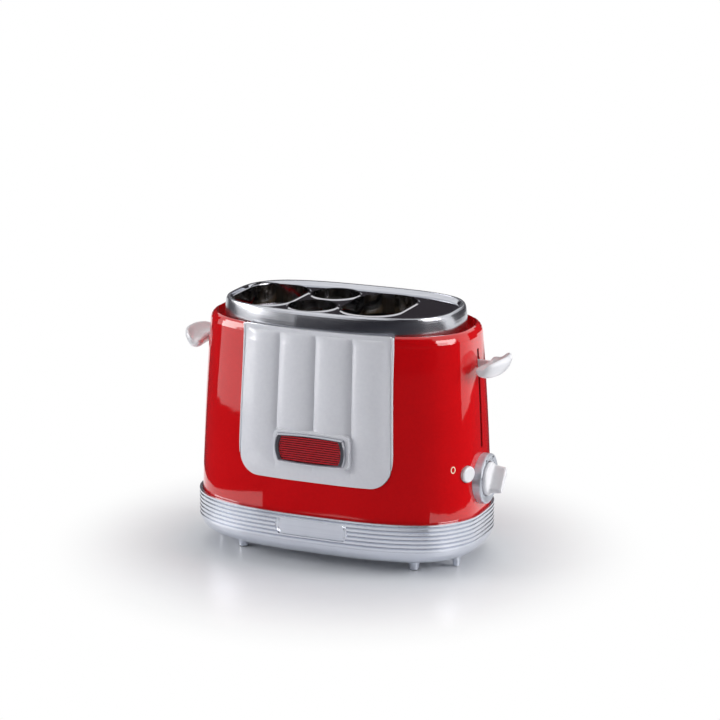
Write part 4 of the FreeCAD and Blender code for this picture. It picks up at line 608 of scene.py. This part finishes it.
TIMER_BLACK = Finish(
    "timer_black", ink(38, 38, 40), ink(26, 26, 28), Grain.MOULDED,
    roughness=0.48, swing=0.06, depth=0.00003, pitch=1800.0,
)
BOARD = Finish(
    "board_green", ink(28, 84, 48), ink(52, 118, 70), Grain.ETCHED,
    roughness=0.4, swing=0.06, coat=0.4, depth=0.00003, pitch=220.0,
)
PRINT_DARK = Finish(
    "print_dark", ink(74, 78, 88), ink(60, 64, 74), Grain.MOULDED,
    roughness=0.5, swing=0.05, depth=0.000004, pitch=3000.0, taken_from="timer_black",
)
PRINT_CREAM = Finish(
    "print_cream", ink(238, 222, 196), ink(228, 210, 182), Grain.MOULDED,
    roughness=0.45, swing=0.05, depth=0.000004, pitch=3000.0, taken_from="control_white",
)

HEATERS = ("left_outer", "left_inner", "right_inner", "right_outer")

WORN_BY: Dict[Finish, Tuple[str, ...]] = {
    RED: ("outer_shell",),
    WHITE_PANEL: ("front_panel",),
    WHITE_CONTROL: ("lever_handle_left", "lever_handle_right", "dial_knob", "stop_button"),
    TOP_PLATE: ("top_plate",),
    COLLARS: ("slot_collars",),
    BEZEL: ("badge_bezel",),
    INSERT_RED: ("badge_insert",),
    RING_SILVER: ("dial_ring",),
    SILVER: ("base_housing", "tray_grip", "prop_feet",
             "foot_front_left", "foot_front_right", "foot_rear_left", "foot_rear_right"),
    PLATE_SILVER: ("name_plate",),
    UNDERSIDE: ("bottom_cover", "cord_gland"),
    RUBBER: ("foot_pads",),
    ZINC: ("cover_screws", "crumb_tray", "chassis_plate", "end_frame_left", "end_frame_right",
           "carriage_bar", "carriage_bracket_left", "carriage_bracket_right", "timer_bracket",
           "latch_plate", "dial_shaft", "guide_rods"),
    REFLECTOR: ("reflector_front", "reflector_rear"),
    WIRE: ("bun_guard_left", "bun_guard_right", "sausage_cage_front", "sausage_cage_rear",
           "cage_bridge", "bun_lift_left", "bun_lift_right", "sausage_lift",
           "lift_spring_left", "lift_spring_right"),
    MICA: tuple(f"heater_board_{place}" for place in HEATERS),
    RIBBON: tuple(f"heater_ribbon_{place}" for place in HEATERS),
    MAGNET: ("magnet_core",),
    COPPER: ("magnet_coil",),
    TIMER_BLACK: ("timer_body", "stop_switch", "board_parts"),
    BOARD: ("control_board",),
}


CARD_GREY = ink(60, 60, 66)
CARD_WHITE = ink(255, 252, 250)
CARD_LEVEL = (0.003, 0.003)  # height of both edges of a card that lies on the floor


@dataclass(frozen=True)
class Card:
    """A sheet that stands or lies beside the set and shows only in reflections.

    Attributes:
        name: Its name.
        turns: First and last direction, in degrees from the front towards +X.
        reach: Distance from the middle at its first and last edge.
        rise: Height of its first and last edge.
        shade: Its colour in a mirror.
        shine: How bright it is, where 1 is as written.
    """

    name: str
    turns: Tuple[float, float]
    reach: Tuple[float, float]
    rise: Tuple[float, float]
    shade: Colour
    shine: float = 1.0

    def build(self) -> None:
        """Bend a grid round the set and hide it from all but mirrored light."""
        Shop.release()
        bpy.ops.mesh.primitive_grid_add(x_subdivisions=48, y_subdivisions=4, size=1.0)
        sheet = bpy.context.object
        sheet.name = self.name
        first, last = self.turns
        for vertex in sheet.data.vertices:
            turn = math.radians(first + (last - first) * (vertex.co.x + 0.5))
            share = vertex.co.y + 0.5
            reach = self.reach[0] + (self.reach[1] - self.reach[0]) * share
            rise = self.rise[0] + (self.rise[1] - self.rise[0]) * share
            vertex.co = (reach * math.sin(turn), -reach * math.cos(turn), rise)
        material = bpy.data.materials.new(self.name)
        material.use_nodes = True
        bench = Bench(material.node_tree)
        dim = tuple(0.8 * part for part in self.shade)
        cloth = bench.mixed(bench.noise(3.0, 2.0), self.shade, dim)
        glow = bench.node("ShaderNodeEmission", inputs={"Color": cloth, "Strength": self.shine})
        bench.node("ShaderNodeOutputMaterial", inputs={"Surface": glow})
        sheet.data.materials.append(material)
        sheet.visible_camera = sheet.visible_diffuse = sheet.visible_shadow = False
        sheet.visible_transmission = sheet.visible_volume_scatter = False


@dataclass(frozen=True)
class Lamp:
    """A soft box, turned to the middle of the object.

    Attributes:
        name: Its name.
        turn: Direction in degrees from the front towards +X.
        reach: Level distance from the middle.
        rise: Height.
        size: Width and height.
        shine: How bright its face is, where 1 is white.
    """

    name: str
    turn: float
    reach: float
    rise: float
    size: Tuple[float, float]
    shine: float

    def hang(self, aim: Vector) -> None:
        """Hang the lamp, turn it to a point and leave reflections to the cards.

        Args:
            aim: The point.
        """
        data = bpy.data.lights.new(self.name, "AREA")
        data.shape = "RECTANGLE"
        data.size, data.size_y = self.size
        data.energy = self.shine * math.pi * self.size[0] * self.size[1]
        lamp = bpy.data.objects.new(self.name, data)
        bpy.context.scene.collection.objects.link(lamp)
        turn = math.radians(self.turn)
        lamp.location = (self.reach * math.sin(turn), -self.reach * math.cos(turn), self.rise)
        lamp.rotation_euler = (aim - lamp.location).to_track_quat("-Z", "Y").to_euler()
        lamp.visible_glossy = False


@dataclass
class Studio:
    """The pale floor, the soft lamps, the cards, the world and the camera.

    Attributes:
        floor_radius: Radius of the floor.
        near_floor: How far out the floor starts to fade to white.
        far_floor: How far out it is white.
        camera_place: Place of the camera.
        camera_turn: Its turns, in degrees.
        lens: Its focal length in millimetres.
        world_strength: Light from all round.
        aim: The point that the lamps face.
        lamps: The soft boxes.
        cards: The sheets that only mirrors see.
    """

    floor_radius: float = 7.0
    near_floor: float = 0.11
    far_floor: float = 0.28
    camera_place: Tuple[float, float, float] = (0.8734, -2.0160, 0.7449)
    camera_turn: Tuple[float, float, float] = (75.4184, 0.0, 23.0868)
    lens: float = 126.6
    world_strength: float = 0.38
    aim: Tuple[float, float, float] = (0.0, 0.0, 0.12)
    lamps: Tuple[Lamp, ...] = (
        Lamp("lamp_left", -60.0, 1.9, 0.75, (1.0, 1.0), 7.4),
        Lamp("lamp_right", 102.0, 1.9, 0.6, (1.0, 1.1), 9.2),
        Lamp("lamp_top", 180.0, 0.4, 2.2, (2.0, 1.2), 1.6),
    )
    cards: Tuple[Card, ...] = (
        Card("card_front", (-37.0, 55.0), (2.6, 2.2), (0.0, 2.2), ink(34, 34, 42)),
        Card("card_near_left", (240.0, 325.0), (0.31, 0.85), CARD_LEVEL, CARD_GREY),
        Card("card_near_front", (-35.0, 48.0), (0.23, 0.85), CARD_LEVEL, CARD_GREY),
        Card("card_near_right", (48.0, 115.0), (0.33, 0.85), CARD_LEVEL, CARD_GREY),
        Card("card_near_back", (115.0, 180.0), (0.3, 0.85), CARD_LEVEL, CARD_GREY),
        Card("card_far", (240.0, 278.0), (0.85, 2.6), CARD_LEVEL, CARD_GREY),
        Card("card_fore", (-50.0, 98.0), (0.85, 2.6), CARD_LEVEL, CARD_GREY),
        Card("card_back", (135.0, 265.0), (2.4, 2.4), (0.0, 1.15), ink(62, 58, 62)),
        Card("card_wall", (55.0, 98.0), (2.4, 2.4), (0.0, 1.1), CARD_GREY),
        Card("card_left", (-82.0, -52.0), (1.9, 1.9), (0.1, 1.0), CARD_WHITE, 7.5),
        Card("card_right", (57.0, 92.0), (1.9, 1.9), (0.42, 1.3), CARD_WHITE, 9.0),
        Card("card_strip", (60.0, 74.0), (1.85, 1.85), (0.16, 0.44), CARD_WHITE, 5.0),
    )

    def clear(self) -> None:
        """Remove what a new Blender file starts with, and the frame's plain materials."""
        keep = set(frame["nodes"].values()) | set(frame["bodies"].values())
        for thing in list(bpy.data.objects):
            if thing not in keep:
                bpy.data.objects.remove(thing)
        for material in list(bpy.data.materials):
            bpy.data.materials.remove(material)

    def floor(self) -> None:
        """Lay a pale disc that fades to white far out and keeps the shadow close in."""
        Shop.release()
        bpy.ops.mesh.primitive_circle_add(vertices=96, radius=self.floor_radius, fill_type="NGON")
        disc = bpy.context.object
        disc.name = "floor"
        material = bpy.data.materials.new("floor_pale")
        material.use_nodes = True
        bench = Bench(material.node_tree)
        across, along = bench.axis("X"), bench.axis("Y")
        far = (across * across + along * along) ** 0.5
        speckle = bench.noise(60.0, 4.0)
        pale = bench.node(
            "ShaderNodeBsdfPrincipled",
            inputs={
                "Base Color": bench.mixed(speckle, ink(226, 228, 232), ink(222, 224, 228)),
                "Roughness": 0.32,
                "Specular IOR Level": 0.4,
            },
        )
        seen = bench.node("ShaderNodeLightPath", out="Is Camera Ray")
        mirrored = bench.node("ShaderNodeLightPath", out="Is Glossy Ray")
        white = bench.node("ShaderNodeEmission", inputs={"Color": (1, 1, 1, 1), "Strength": 1.0})
        fade = far.step(self.near_floor, self.far_floor) * seen.maths("MAXIMUM", mirrored)
        mixed = bench.node("ShaderNodeMixShader", inputs={0: fade, 1: pale, 2: white})
        bench.node("ShaderNodeOutputMaterial", inputs={"Surface": mixed})
        disc.data.materials.append(material)

    def world(self) -> None:
        """Light softly from all round and show white to the eye and to metal."""
        world = bpy.data.worlds.new("studio")
        bpy.context.scene.world = world
        world.use_nodes = True
        bench = Bench(world.node_tree)
        camera, mirror, glass = (
            bench.node("ShaderNodeLightPath", out=f"Is {kind} Ray")
            for kind in ("Camera", "Glossy", "Transmission")
        )
        seen = camera.maths("MAXIMUM", mirror).maths("MAXIMUM", glass)
        strength = seen * (1.0 - self.world_strength) + self.world_strength
        light = bench.node("ShaderNodeBackground", inputs={"Color": (1, 1, 1, 1), "Strength": strength})
        bench.node("ShaderNodeOutputWorld", inputs={"Surface": light})

    def camera(self) -> None:
        """Set the camera up at the usual view."""
        data = bpy.data.cameras.new("camera")
        data.sensor_width, data.lens = 36.0, self.lens
        data.clip_start, data.clip_end = 0.05, 50.0
        camera = bpy.data.objects.new("camera", data)
        bpy.context.scene.collection.objects.link(camera)
        camera.location = self.camera_place
        camera.rotation_euler = tuple(math.radians(turn) for turn in self.camera_turn)
        bpy.context.scene.camera = camera

    def build(self) -> None:
        """Set up the whole studio."""
        self.clear()
        self.floor()
        self.world()
        for lamp in self.lamps:
            lamp.hang(Vector(self.aim))
        for card in self.cards:
            card.build()
        self.camera()
        bpy.context.scene.view_settings.view_transform = "Standard"
        LOG.info("studio: %d lamps, %d cards", len(self.lamps), len(self.cards))


class Shop:
    """Edit-mode work on one mesh at a time."""

    @staticmethod
    def release() -> None:
        """Go back to object mode with nothing selected."""
        if bpy.context.object and bpy.context.object.mode != "OBJECT":
            bpy.ops.object.mode_set(mode="OBJECT")
        bpy.ops.object.select_all(action="DESELECT")

    @staticmethod
    def only(piece: bpy.types.Object) -> None:
        """Select one piece and make it the active one.

        Args:
            piece: The piece.
        """
        Shop.release()
        piece.select_set(True)
        bpy.context.view_layer.objects.active = piece

    @staticmethod
    def settle(piece: bpy.types.Object) -> bpy.types.Object:
        """Put a piece's place, turn and size into its mesh.

        Args:
            piece: The piece.

        Returns:
            The piece.
        """
        Shop.only(piece)
        bpy.ops.object.transform_apply(location=True, rotation=True, scale=True)
        return piece

    @staticmethod
    def edit(piece: bpy.types.Object, mode: str, test: Callable[[Vector, Vector], bool]) -> int:
        """Enter edit mode with the matching elements selected.

        Args:
            piece: The mesh object.
            mode: VERT, EDGE or FACE.
            test: Takes an element's middle and normal.

        Returns:
            How many are selected.
        """
        Shop.only(piece)
        bpy.ops.object.mode_set(mode="EDIT")
        bpy.ops.mesh.select_mode(type=mode)
        bpy.ops.mesh.select_all(action="DESELECT")
        bpy.ops.object.mode_set(mode="OBJECT")
        mesh = piece.data
        count = 0
        if mode == "FACE":
            for face in mesh.polygons:
                face.select = test(face.center, face.normal)
                count += face.select
        else:
            parts = mesh.vertices if mode == "VERT" else mesh.edges
            for part in parts:
                ends = [part.index] if mode == "VERT" else list(part.vertices)
                middle = sum((mesh.vertices[i].co for i in ends), Vector()) / len(ends)
                normal = sum((mesh.vertices[i].normal for i in ends), Vector())
                part.select = test(middle, normal.normalized())
                count += part.select
        bpy.ops.object.mode_set(mode="EDIT")
        return count

    @staticmethod
    def done(piece: bpy.types.Object) -> bpy.types.Object:
        """Leave edit mode and give the piece back."""
        bpy.ops.object.mode_set(mode="OBJECT")
        return piece

    @staticmethod
    def modify(piece: bpy.types.Object, kind: str, **settings: object) -> bpy.types.Object:
        """Add a modifier and apply it at once.

        Args:
            piece: The mesh object.
            kind: The modifier's type.
            settings: Its settings.

        Returns:
            The piece.
        """
        Shop.only(piece)
        made = piece.modifiers.new(kind.lower(), kind)
        for key, value in settings.items():
            setattr(made, key, value)
        bpy.ops.object.modifier_apply(modifier=made.name)
        return piece

    @staticmethod
    def seat(node: str, near: Sequence[float]) -> Matrix:
        """Find the spot of a node that is nearest to a point.

        Args:
            node: Name of the node.
            near: The point.

        Returns:
            A place on the spot, with Z outwards and Y upwards.
        """
        _, spot, facing, _ = frame["nodes"][node].closest_point_on_mesh(Vector(near))
        return Matrix.Translation(spot) @ facing.to_track_quat("Z", "Y").to_matrix().to_4x4()

    @staticmethod
    def put(piece: bpy.types.Object, name: str, place: Matrix) -> bpy.types.Object:
        """Name a piece and put a place into its mesh.

        Args:
            piece: The piece, still at the origin.
            name: Its name.
            place: Where it goes.

        Returns:
            The piece.
        """
        piece.name = piece.data.name = name
        piece.matrix_world = place
        return Shop.settle(piece)

    @staticmethod
    def inked(piece: bpy.types.Object, node: str, film: float) -> bpy.types.Object:
        """Lay a flat piece on a node and give it the thickness of ink.

        Args:
            piece: The flat piece, its face outwards.
            node: The node that it is printed on.
            film: Thickness of the ink.

        Returns:
            The piece.
        """
        target = frame["nodes"][node]
        method = {"wrap_method": "NEAREST_SURFACEPOINT", "wrap_mode": "ABOVE_SURFACE"}
        Shop.modify(piece, "SHRINKWRAP", target=target, offset=film, **method)
        return Shop.modify(piece, "SOLIDIFY", thickness=film, offset=1.0)

    @staticmethod
    def joined(pieces: Sequence[bpy.types.Object], name: str) -> bpy.types.Object:
        """Join pieces into one and name it.

        Args:
            pieces: The pieces, at least one.
            name: The new name.

        Returns:
            The joined piece.
        """
        Shop.release()
        for piece in pieces:
            piece.select_set(True)
        bpy.context.view_layer.objects.active = pieces[0]
        if len(pieces) > 1:
            bpy.ops.object.join()
        whole = bpy.context.object
        whole.name = whole.data.name = name
        return whole

    @staticmethod
    def finish(
        piece: bpy.types.Object, finish: Finish, body: str, smooth: float = 35.0
    ) -> bpy.types.Object:
        """Close the piece's work: smooth it, dress it and put it on its body.

        Args:
            piece: The piece.
            finish: Its finish.
            body: The body that it rides on.
            smooth: Edges blunter than this angle are shaded smooth, in degrees.

        Returns:
            The piece.
        """
        Shop.settle(piece)
        bpy.ops.object.shade_smooth_by_angle(angle=math.radians(smooth))
        piece.data.materials.clear()
        piece.data.materials.append(finish.made())
        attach(piece, body)
        LOG.info("%s: %d faces on %s", piece.name, len(piece.data.polygons), body)
        return piece


@dataclass
class FrameDress:
    """The finishes of the nodes that come from the frame.

    Attributes:
        worn_by: The nodes that wear each finish.
    """

    worn_by: Dict[Finish, Tuple[str, ...]] = field(default_factory=lambda: dict(WORN_BY))

    def build(self) -> None:
        """Dress every node."""
        bare = set(frame["nodes"])
        for finish, names in self.worn_by.items():
            for name in names:
                node = frame["nodes"][name]
                node.data.materials.clear()
                node.data.materials.append(finish.made())
                bare.discard(name)
            LOG.info("%s: %s", finish.name, ", ".join(names))
        if bare:
            raise ValueError(f"nodes left bare: {sorted(bare)}")


@dataclass
class StopMark:
    """The small ring printed beside the stop key.

    Attributes:
        near: A point close to its middle.
        half_size: Half its width and height.
        line: Width of its line.
        film: Thickness of the ink.
    """

    near: Tuple[float, float, float] = (0.1215, -0.043, 0.0965)
    half_size: Tuple[float, float] = (0.0024, 0.0032)
    line: float = 0.00085
    film: float = 0.00004

    def build(self) -> None:
        """Inset an oval to a ring and print it on the shell."""
        Shop.release()
        bpy.ops.mesh.primitive_circle_add(vertices=40, radius=1.0, fill_type="NGON")
        place = Shop.seat("outer_shell", self.near) @ Matrix.Diagonal((*self.half_size, 1.0, 1.0))
        piece = Shop.put(bpy.context.object, "stop_mark", place)
        Shop.edit(piece, "FACE", lambda middle, normal: True)
        bpy.ops.mesh.inset(thickness=self.line)
        bpy.ops.mesh.delete(type="FACE")
        Shop.done(piece)
        Shop.finish(Shop.inked(piece, "outer_shell", self.film), PRINT_CREAM, "housing")


@dataclass
class DialPrint:
    """Plain numbers and dots printed on the ring round the timer dial.

    Attributes:
        centre: Middle of the ring's face.
        number_radius: Distance of the numbers from it.
        number_size: Height of a number's type.
        number_weight: How much its strokes are thickened.
        dot_radius: Distance of the dots from the middle.
        dot_size: Radius of a dot.
        count: How many numbers there are.
        spread: Degrees from the top to the first and the last.
        dots_between: How many steps of dots lie between two numbers.
        film: Thickness of the ink.
    """

    centre: Tuple[float, float, float] = (0.1402, 0.0, 0.079)
    number_radius: float = 0.0197
    number_size: float = 0.0056
    number_weight: float = 0.00035
    dot_radius: float = 0.0170
    dot_size: float = 0.0005
    count: int = 6
    spread: float = 125.0
    dots_between: int = 4
    film: float = 0.00005

    def place(self, turn: float, radius: float) -> Matrix:
        """Give a place on the ring that faces outwards.

        Args:
            turn: Degrees clockwise from the top.
            radius: Distance from the ring's middle.

        Returns:
            The place.
        """
        upright = Matrix.Rotation(math.pi / 2, 4, "Z") @ Matrix.Rotation(math.pi / 2, 4, "X")
        out = Matrix.Rotation(-math.radians(turn), 4, "X") @ Matrix.Translation((0.0, 0.0, radius))
        return Matrix.Translation(self.centre) @ out @ upright

    def number(self, value: int, turn: float) -> bpy.types.Object:
        """Write one number as a flat mesh.

        Args:
            value: The number.
            turn: Degrees clockwise from the top.

        Returns:
            The piece.
        """
        Shop.release()
        bpy.ops.object.text_add()
        words = bpy.context.object
        words.data.body = str(value)
        words.data.size = self.number_size
        words.data.offset = self.number_weight
        words.data.align_x = words.data.align_y = "CENTER"
        bpy.ops.object.convert(target="MESH")
        place = self.place(turn, self.number_radius)
        return Shop.put(bpy.context.object, f"dial_number_{value}", place)

    def dot(self, count: int, turn: float) -> bpy.types.Object:
        """Draw one oval dot as a flat mesh.

        Args:
            count: Its number.
            turn: Degrees clockwise from the top.

        Returns:
            The piece.
        """
        Shop.release()
        bpy.ops.mesh.primitive_circle_add(vertices=12, radius=self.dot_size, fill_type="NGON")
        piece = Shop.put(bpy.context.object, f"dial_dot_{count}", self.place(turn, self.dot_radius))
        Shop.edit(piece, "FACE", lambda middle, normal: True)
        bpy.ops.mesh.inset(thickness=self.dot_size * 0.4)
        return Shop.done(piece)

    def build(self) -> None:
        """Set the numbers and dots round the ring and print them on it."""
        step = 2.0 * self.spread / (self.count - 1)
        turns = [index * step - self.spread for index in range(self.count)]
        marks = [self.number(index + 1, turn) for index, turn in enumerate(turns)]
        fine = self.dots_between
        dots = [index * step / fine - self.spread for index in range(fine * (self.count - 1) + 1)]
        marks += [self.dot(index, turn) for index, turn in enumerate(dots)]
        piece = Shop.joined(marks, "dial_print")
        Shop.finish(Shop.inked(piece, "dial_ring", self.film), PRINT_DARK, "housing")


@dataclass
class NamePlateEnds:
    """Double raised brackets at the two ends of the bare plate on the base.

    Attributes:
        radius: Radius of a bracket's arc.
        wire: Radius of its rod.
        spread: Half the arc, in degrees.
        insets: How far each bracket is in from the end.
        sink: How deep it sits in the plate.
    """

    radius: float = 0.0125
    wire: float = 0.00055
    spread: float = 30.0
    insets: Tuple[float, ...] = (0.0004, 0.0022)
    sink: float = 0.00015

    def bracket(self, side: int, inset: float) -> bpy.types.Object:
        """Spin a thin rod through a short arc and stand it on the plate's end.

        Args:
            side: 1 for the right end, -1 for the left one.
            inset: How far in from the end.

        Returns:
            The piece.
        """
        low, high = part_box("name_plate")
        spread = math.radians(self.spread)
        middle = 0.0 if side > 0 else math.pi
        start = middle + spread
        Shop.release()
        bpy.ops.mesh.primitive_circle_add(
            vertices=10, radius=self.wire, fill_type="NOTHING",
            location=(self.radius * math.cos(start), self.radius * math.sin(start), 0.0),
            rotation=(math.pi / 2, 0.0, start),
        )
        piece = Shop.settle(bpy.context.object)
        Shop.edit(piece, "VERT", lambda middle, normal: True)
        bpy.ops.mesh.spin(
            steps=18, angle=2.0 * spread, center=(0.0, 0.0, 0.0), axis=(0.0, 0.0, 1.0)
        )
        bpy.ops.mesh.select_all(action="SELECT")
        bpy.ops.mesh.fill_holes(sides=0)
        bpy.ops.mesh.normals_make_consistent(inside=False)
        Shop.done(piece)
        end = (high.x if side > 0 else low.x) - side * inset
        spot = Shop.seat("name_plate", (end, low.y - 0.003, (low.z + high.z) / 2))
        place = spot @ Matrix.Translation((-side * self.radius, 0.0, -self.sink))
        return Shop.put(piece, f"name_end_{side}_{inset}", place)

    def build(self) -> None:
        """Stand two brackets at each end."""
        rods = [self.bracket(side, inset) for side in (-1, 1) for inset in self.insets]
        Shop.finish(Shop.joined(rods, "name_plate_ends"), PLATE_BRIGHT, "housing")


@dataclass
class PanelEdges:
    """Rolled white edges that close the fluted panel's sides against the shell.

    Attributes:
        low: Height of their foot.
        high: Height of their top.
        top_half_width: Half the panel's width at the top.
        slope: How much wider the panel gets per length downwards.
        proud: How much wider than the gap a bead is on each side.
        least: Least half width of a bead.
        taper: Share of the height over which a bead narrows to its foot.
        foot: Its width at the foot, as a share.
        steps: How many stretches a bead has.
    """

    low: float = 0.098
    high: float = 0.2146
    top_half_width: float = 0.0688
    slope: float = 0.03
    proud: float = 0.0002
    least: float = 0.0007
    taper: float = 0.12
    foot: float = 0.2
    steps: int = 28

    def gap(self, side: int, share: float) -> Tuple[Vector, float]:
        """Find the gap between the panel and the shell at one height.

        Args:
            side: 1 for the right edge, -1 for the left one.
            share: 0 at the foot, 1 at the top.

        Returns:
            The gap's middle and half its width.
        """
        height = self.low + (self.high - self.low) * share
        half = self.top_half_width + self.slope * (self.high - height)
        near = Shop.seat("front_panel", (side * (half + 0.01), -0.08, height)).translation
        far = Shop.seat("outer_shell", near + Vector((side * 0.002, 0.0, 0.0))).translation
        narrowing = min(1.0, self.foot + share / self.taper)
        width = max(self.least, abs(far.x - near.x) / 2.0 + self.proud) * narrowing
        return Vector(((near.x + far.x) / 2.0, near.y + 0.9 * width, height)), width

    def bead(self, side: int) -> bpy.types.Object:
        """Extrude a small disc up the gap and widen it as the gap widens.

        Args:
            side: 1 for the right edge, -1 for the left one.

        Returns:
            The piece.
        """
        gaps = [self.gap(side, index / self.steps) for index in range(self.steps + 1)]
        Shop.release()
        middle, width = gaps[0]
        bpy.ops.mesh.primitive_circle_add(
            vertices=14, radius=width, fill_type="NGON", location=middle
        )
        piece = bpy.context.object
        bpy.ops.object.mode_set(mode="EDIT")
        for (start, narrow), (end, wide) in zip(gaps, gaps[1:]):
            bpy.ops.mesh.extrude_region_move(TRANSFORM_OT_translate={"value": end - start})
            ratio = wide / narrow
            bpy.ops.transform.resize(value=(ratio, ratio, 1.0), center_override=end)
        bpy.ops.mesh.select_all(action="SELECT")
        bpy.ops.mesh.normals_make_consistent(inside=False)
        return Shop.done(piece)

    def build(self) -> None:
        """Roll both edges."""
        beads = [self.bead(side) for side in (-1, 1)]
        Shop.finish(Shop.joined(beads, "panel_edges"), WHITE_PANEL, "housing")


@dataclass(frozen=True)
class Moulding:
    """How one moulded control is evened out.

    Attributes:
        node: The frame's node that it stands for.
        name: Its own name.
        body: The body that it rides on.
        voxel: Size of its even faces.
        rounds: How long its edges are softened.
    """

    node: str
    name: str
    body: str
    voxel: float
    rounds: int


@dataclass
class MouldedControls:
    """Soft-edged moulded grips, knob and key that stand for the frame's own.

    Attributes:
        mouldings: What is made, and how.
        merge: Points of the copied mesh closer than this become one.
        smooth: Angle under which faces are shaded as one, in degrees.
    """

    mouldings: Tuple[Moulding, ...] = (
        Moulding("lever_handle_left", "lever_grip_left", "carriage", 0.0006, 8),
        Moulding("lever_handle_right", "lever_grip_right", "carriage", 0.0006, 8),
        Moulding("dial_knob", "timer_knob", "timer_dial", 0.0005, 48),
        Moulding("stop_button", "stop_key_cap", "stop_key", 0.0004, 5),
    )
    merge: float = 0.00001
    smooth: float = 80.0

    def mould(self, moulding: Moulding) -> None:
        """Merge a copy of a node, even its faces out and soften its edges.

        Args:
            moulding: What is made, and how.
        """
        node = frame["nodes"][moulding.node]
        Shop.release()
        piece = bpy.data.objects.new(moulding.name, node.data.copy())
        bpy.context.scene.collection.objects.link(piece)
        Shop.edit(piece, "VERT", lambda middle, normal: True)
        bpy.ops.mesh.remove_doubles(threshold=self.merge)
        Shop.done(piece)
        Shop.modify(piece, "REMESH", mode="VOXEL", voxel_size=moulding.voxel)
        Shop.modify(piece, "SMOOTH", factor=0.5, iterations=moulding.rounds)
        Shop.finish(piece, WHITE_CONTROL, moulding.body, self.smooth)
        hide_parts(node.name)

    def build(self) -> None:
        """Make every control."""
        for moulding in self.mouldings:
            self.mould(moulding)


def main() -> None:
    """Build the whole scene."""
    logging.basicConfig(level=logging.INFO, format="%(name)s %(message)s")
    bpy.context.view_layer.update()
    Studio().build()
    FrameDress().build()
    for detail in (MouldedControls(), PanelEdges(), NamePlateEnds(), StopMark(), DialPrint()):
        detail.build()


if __name__ == "__main__":
    main()
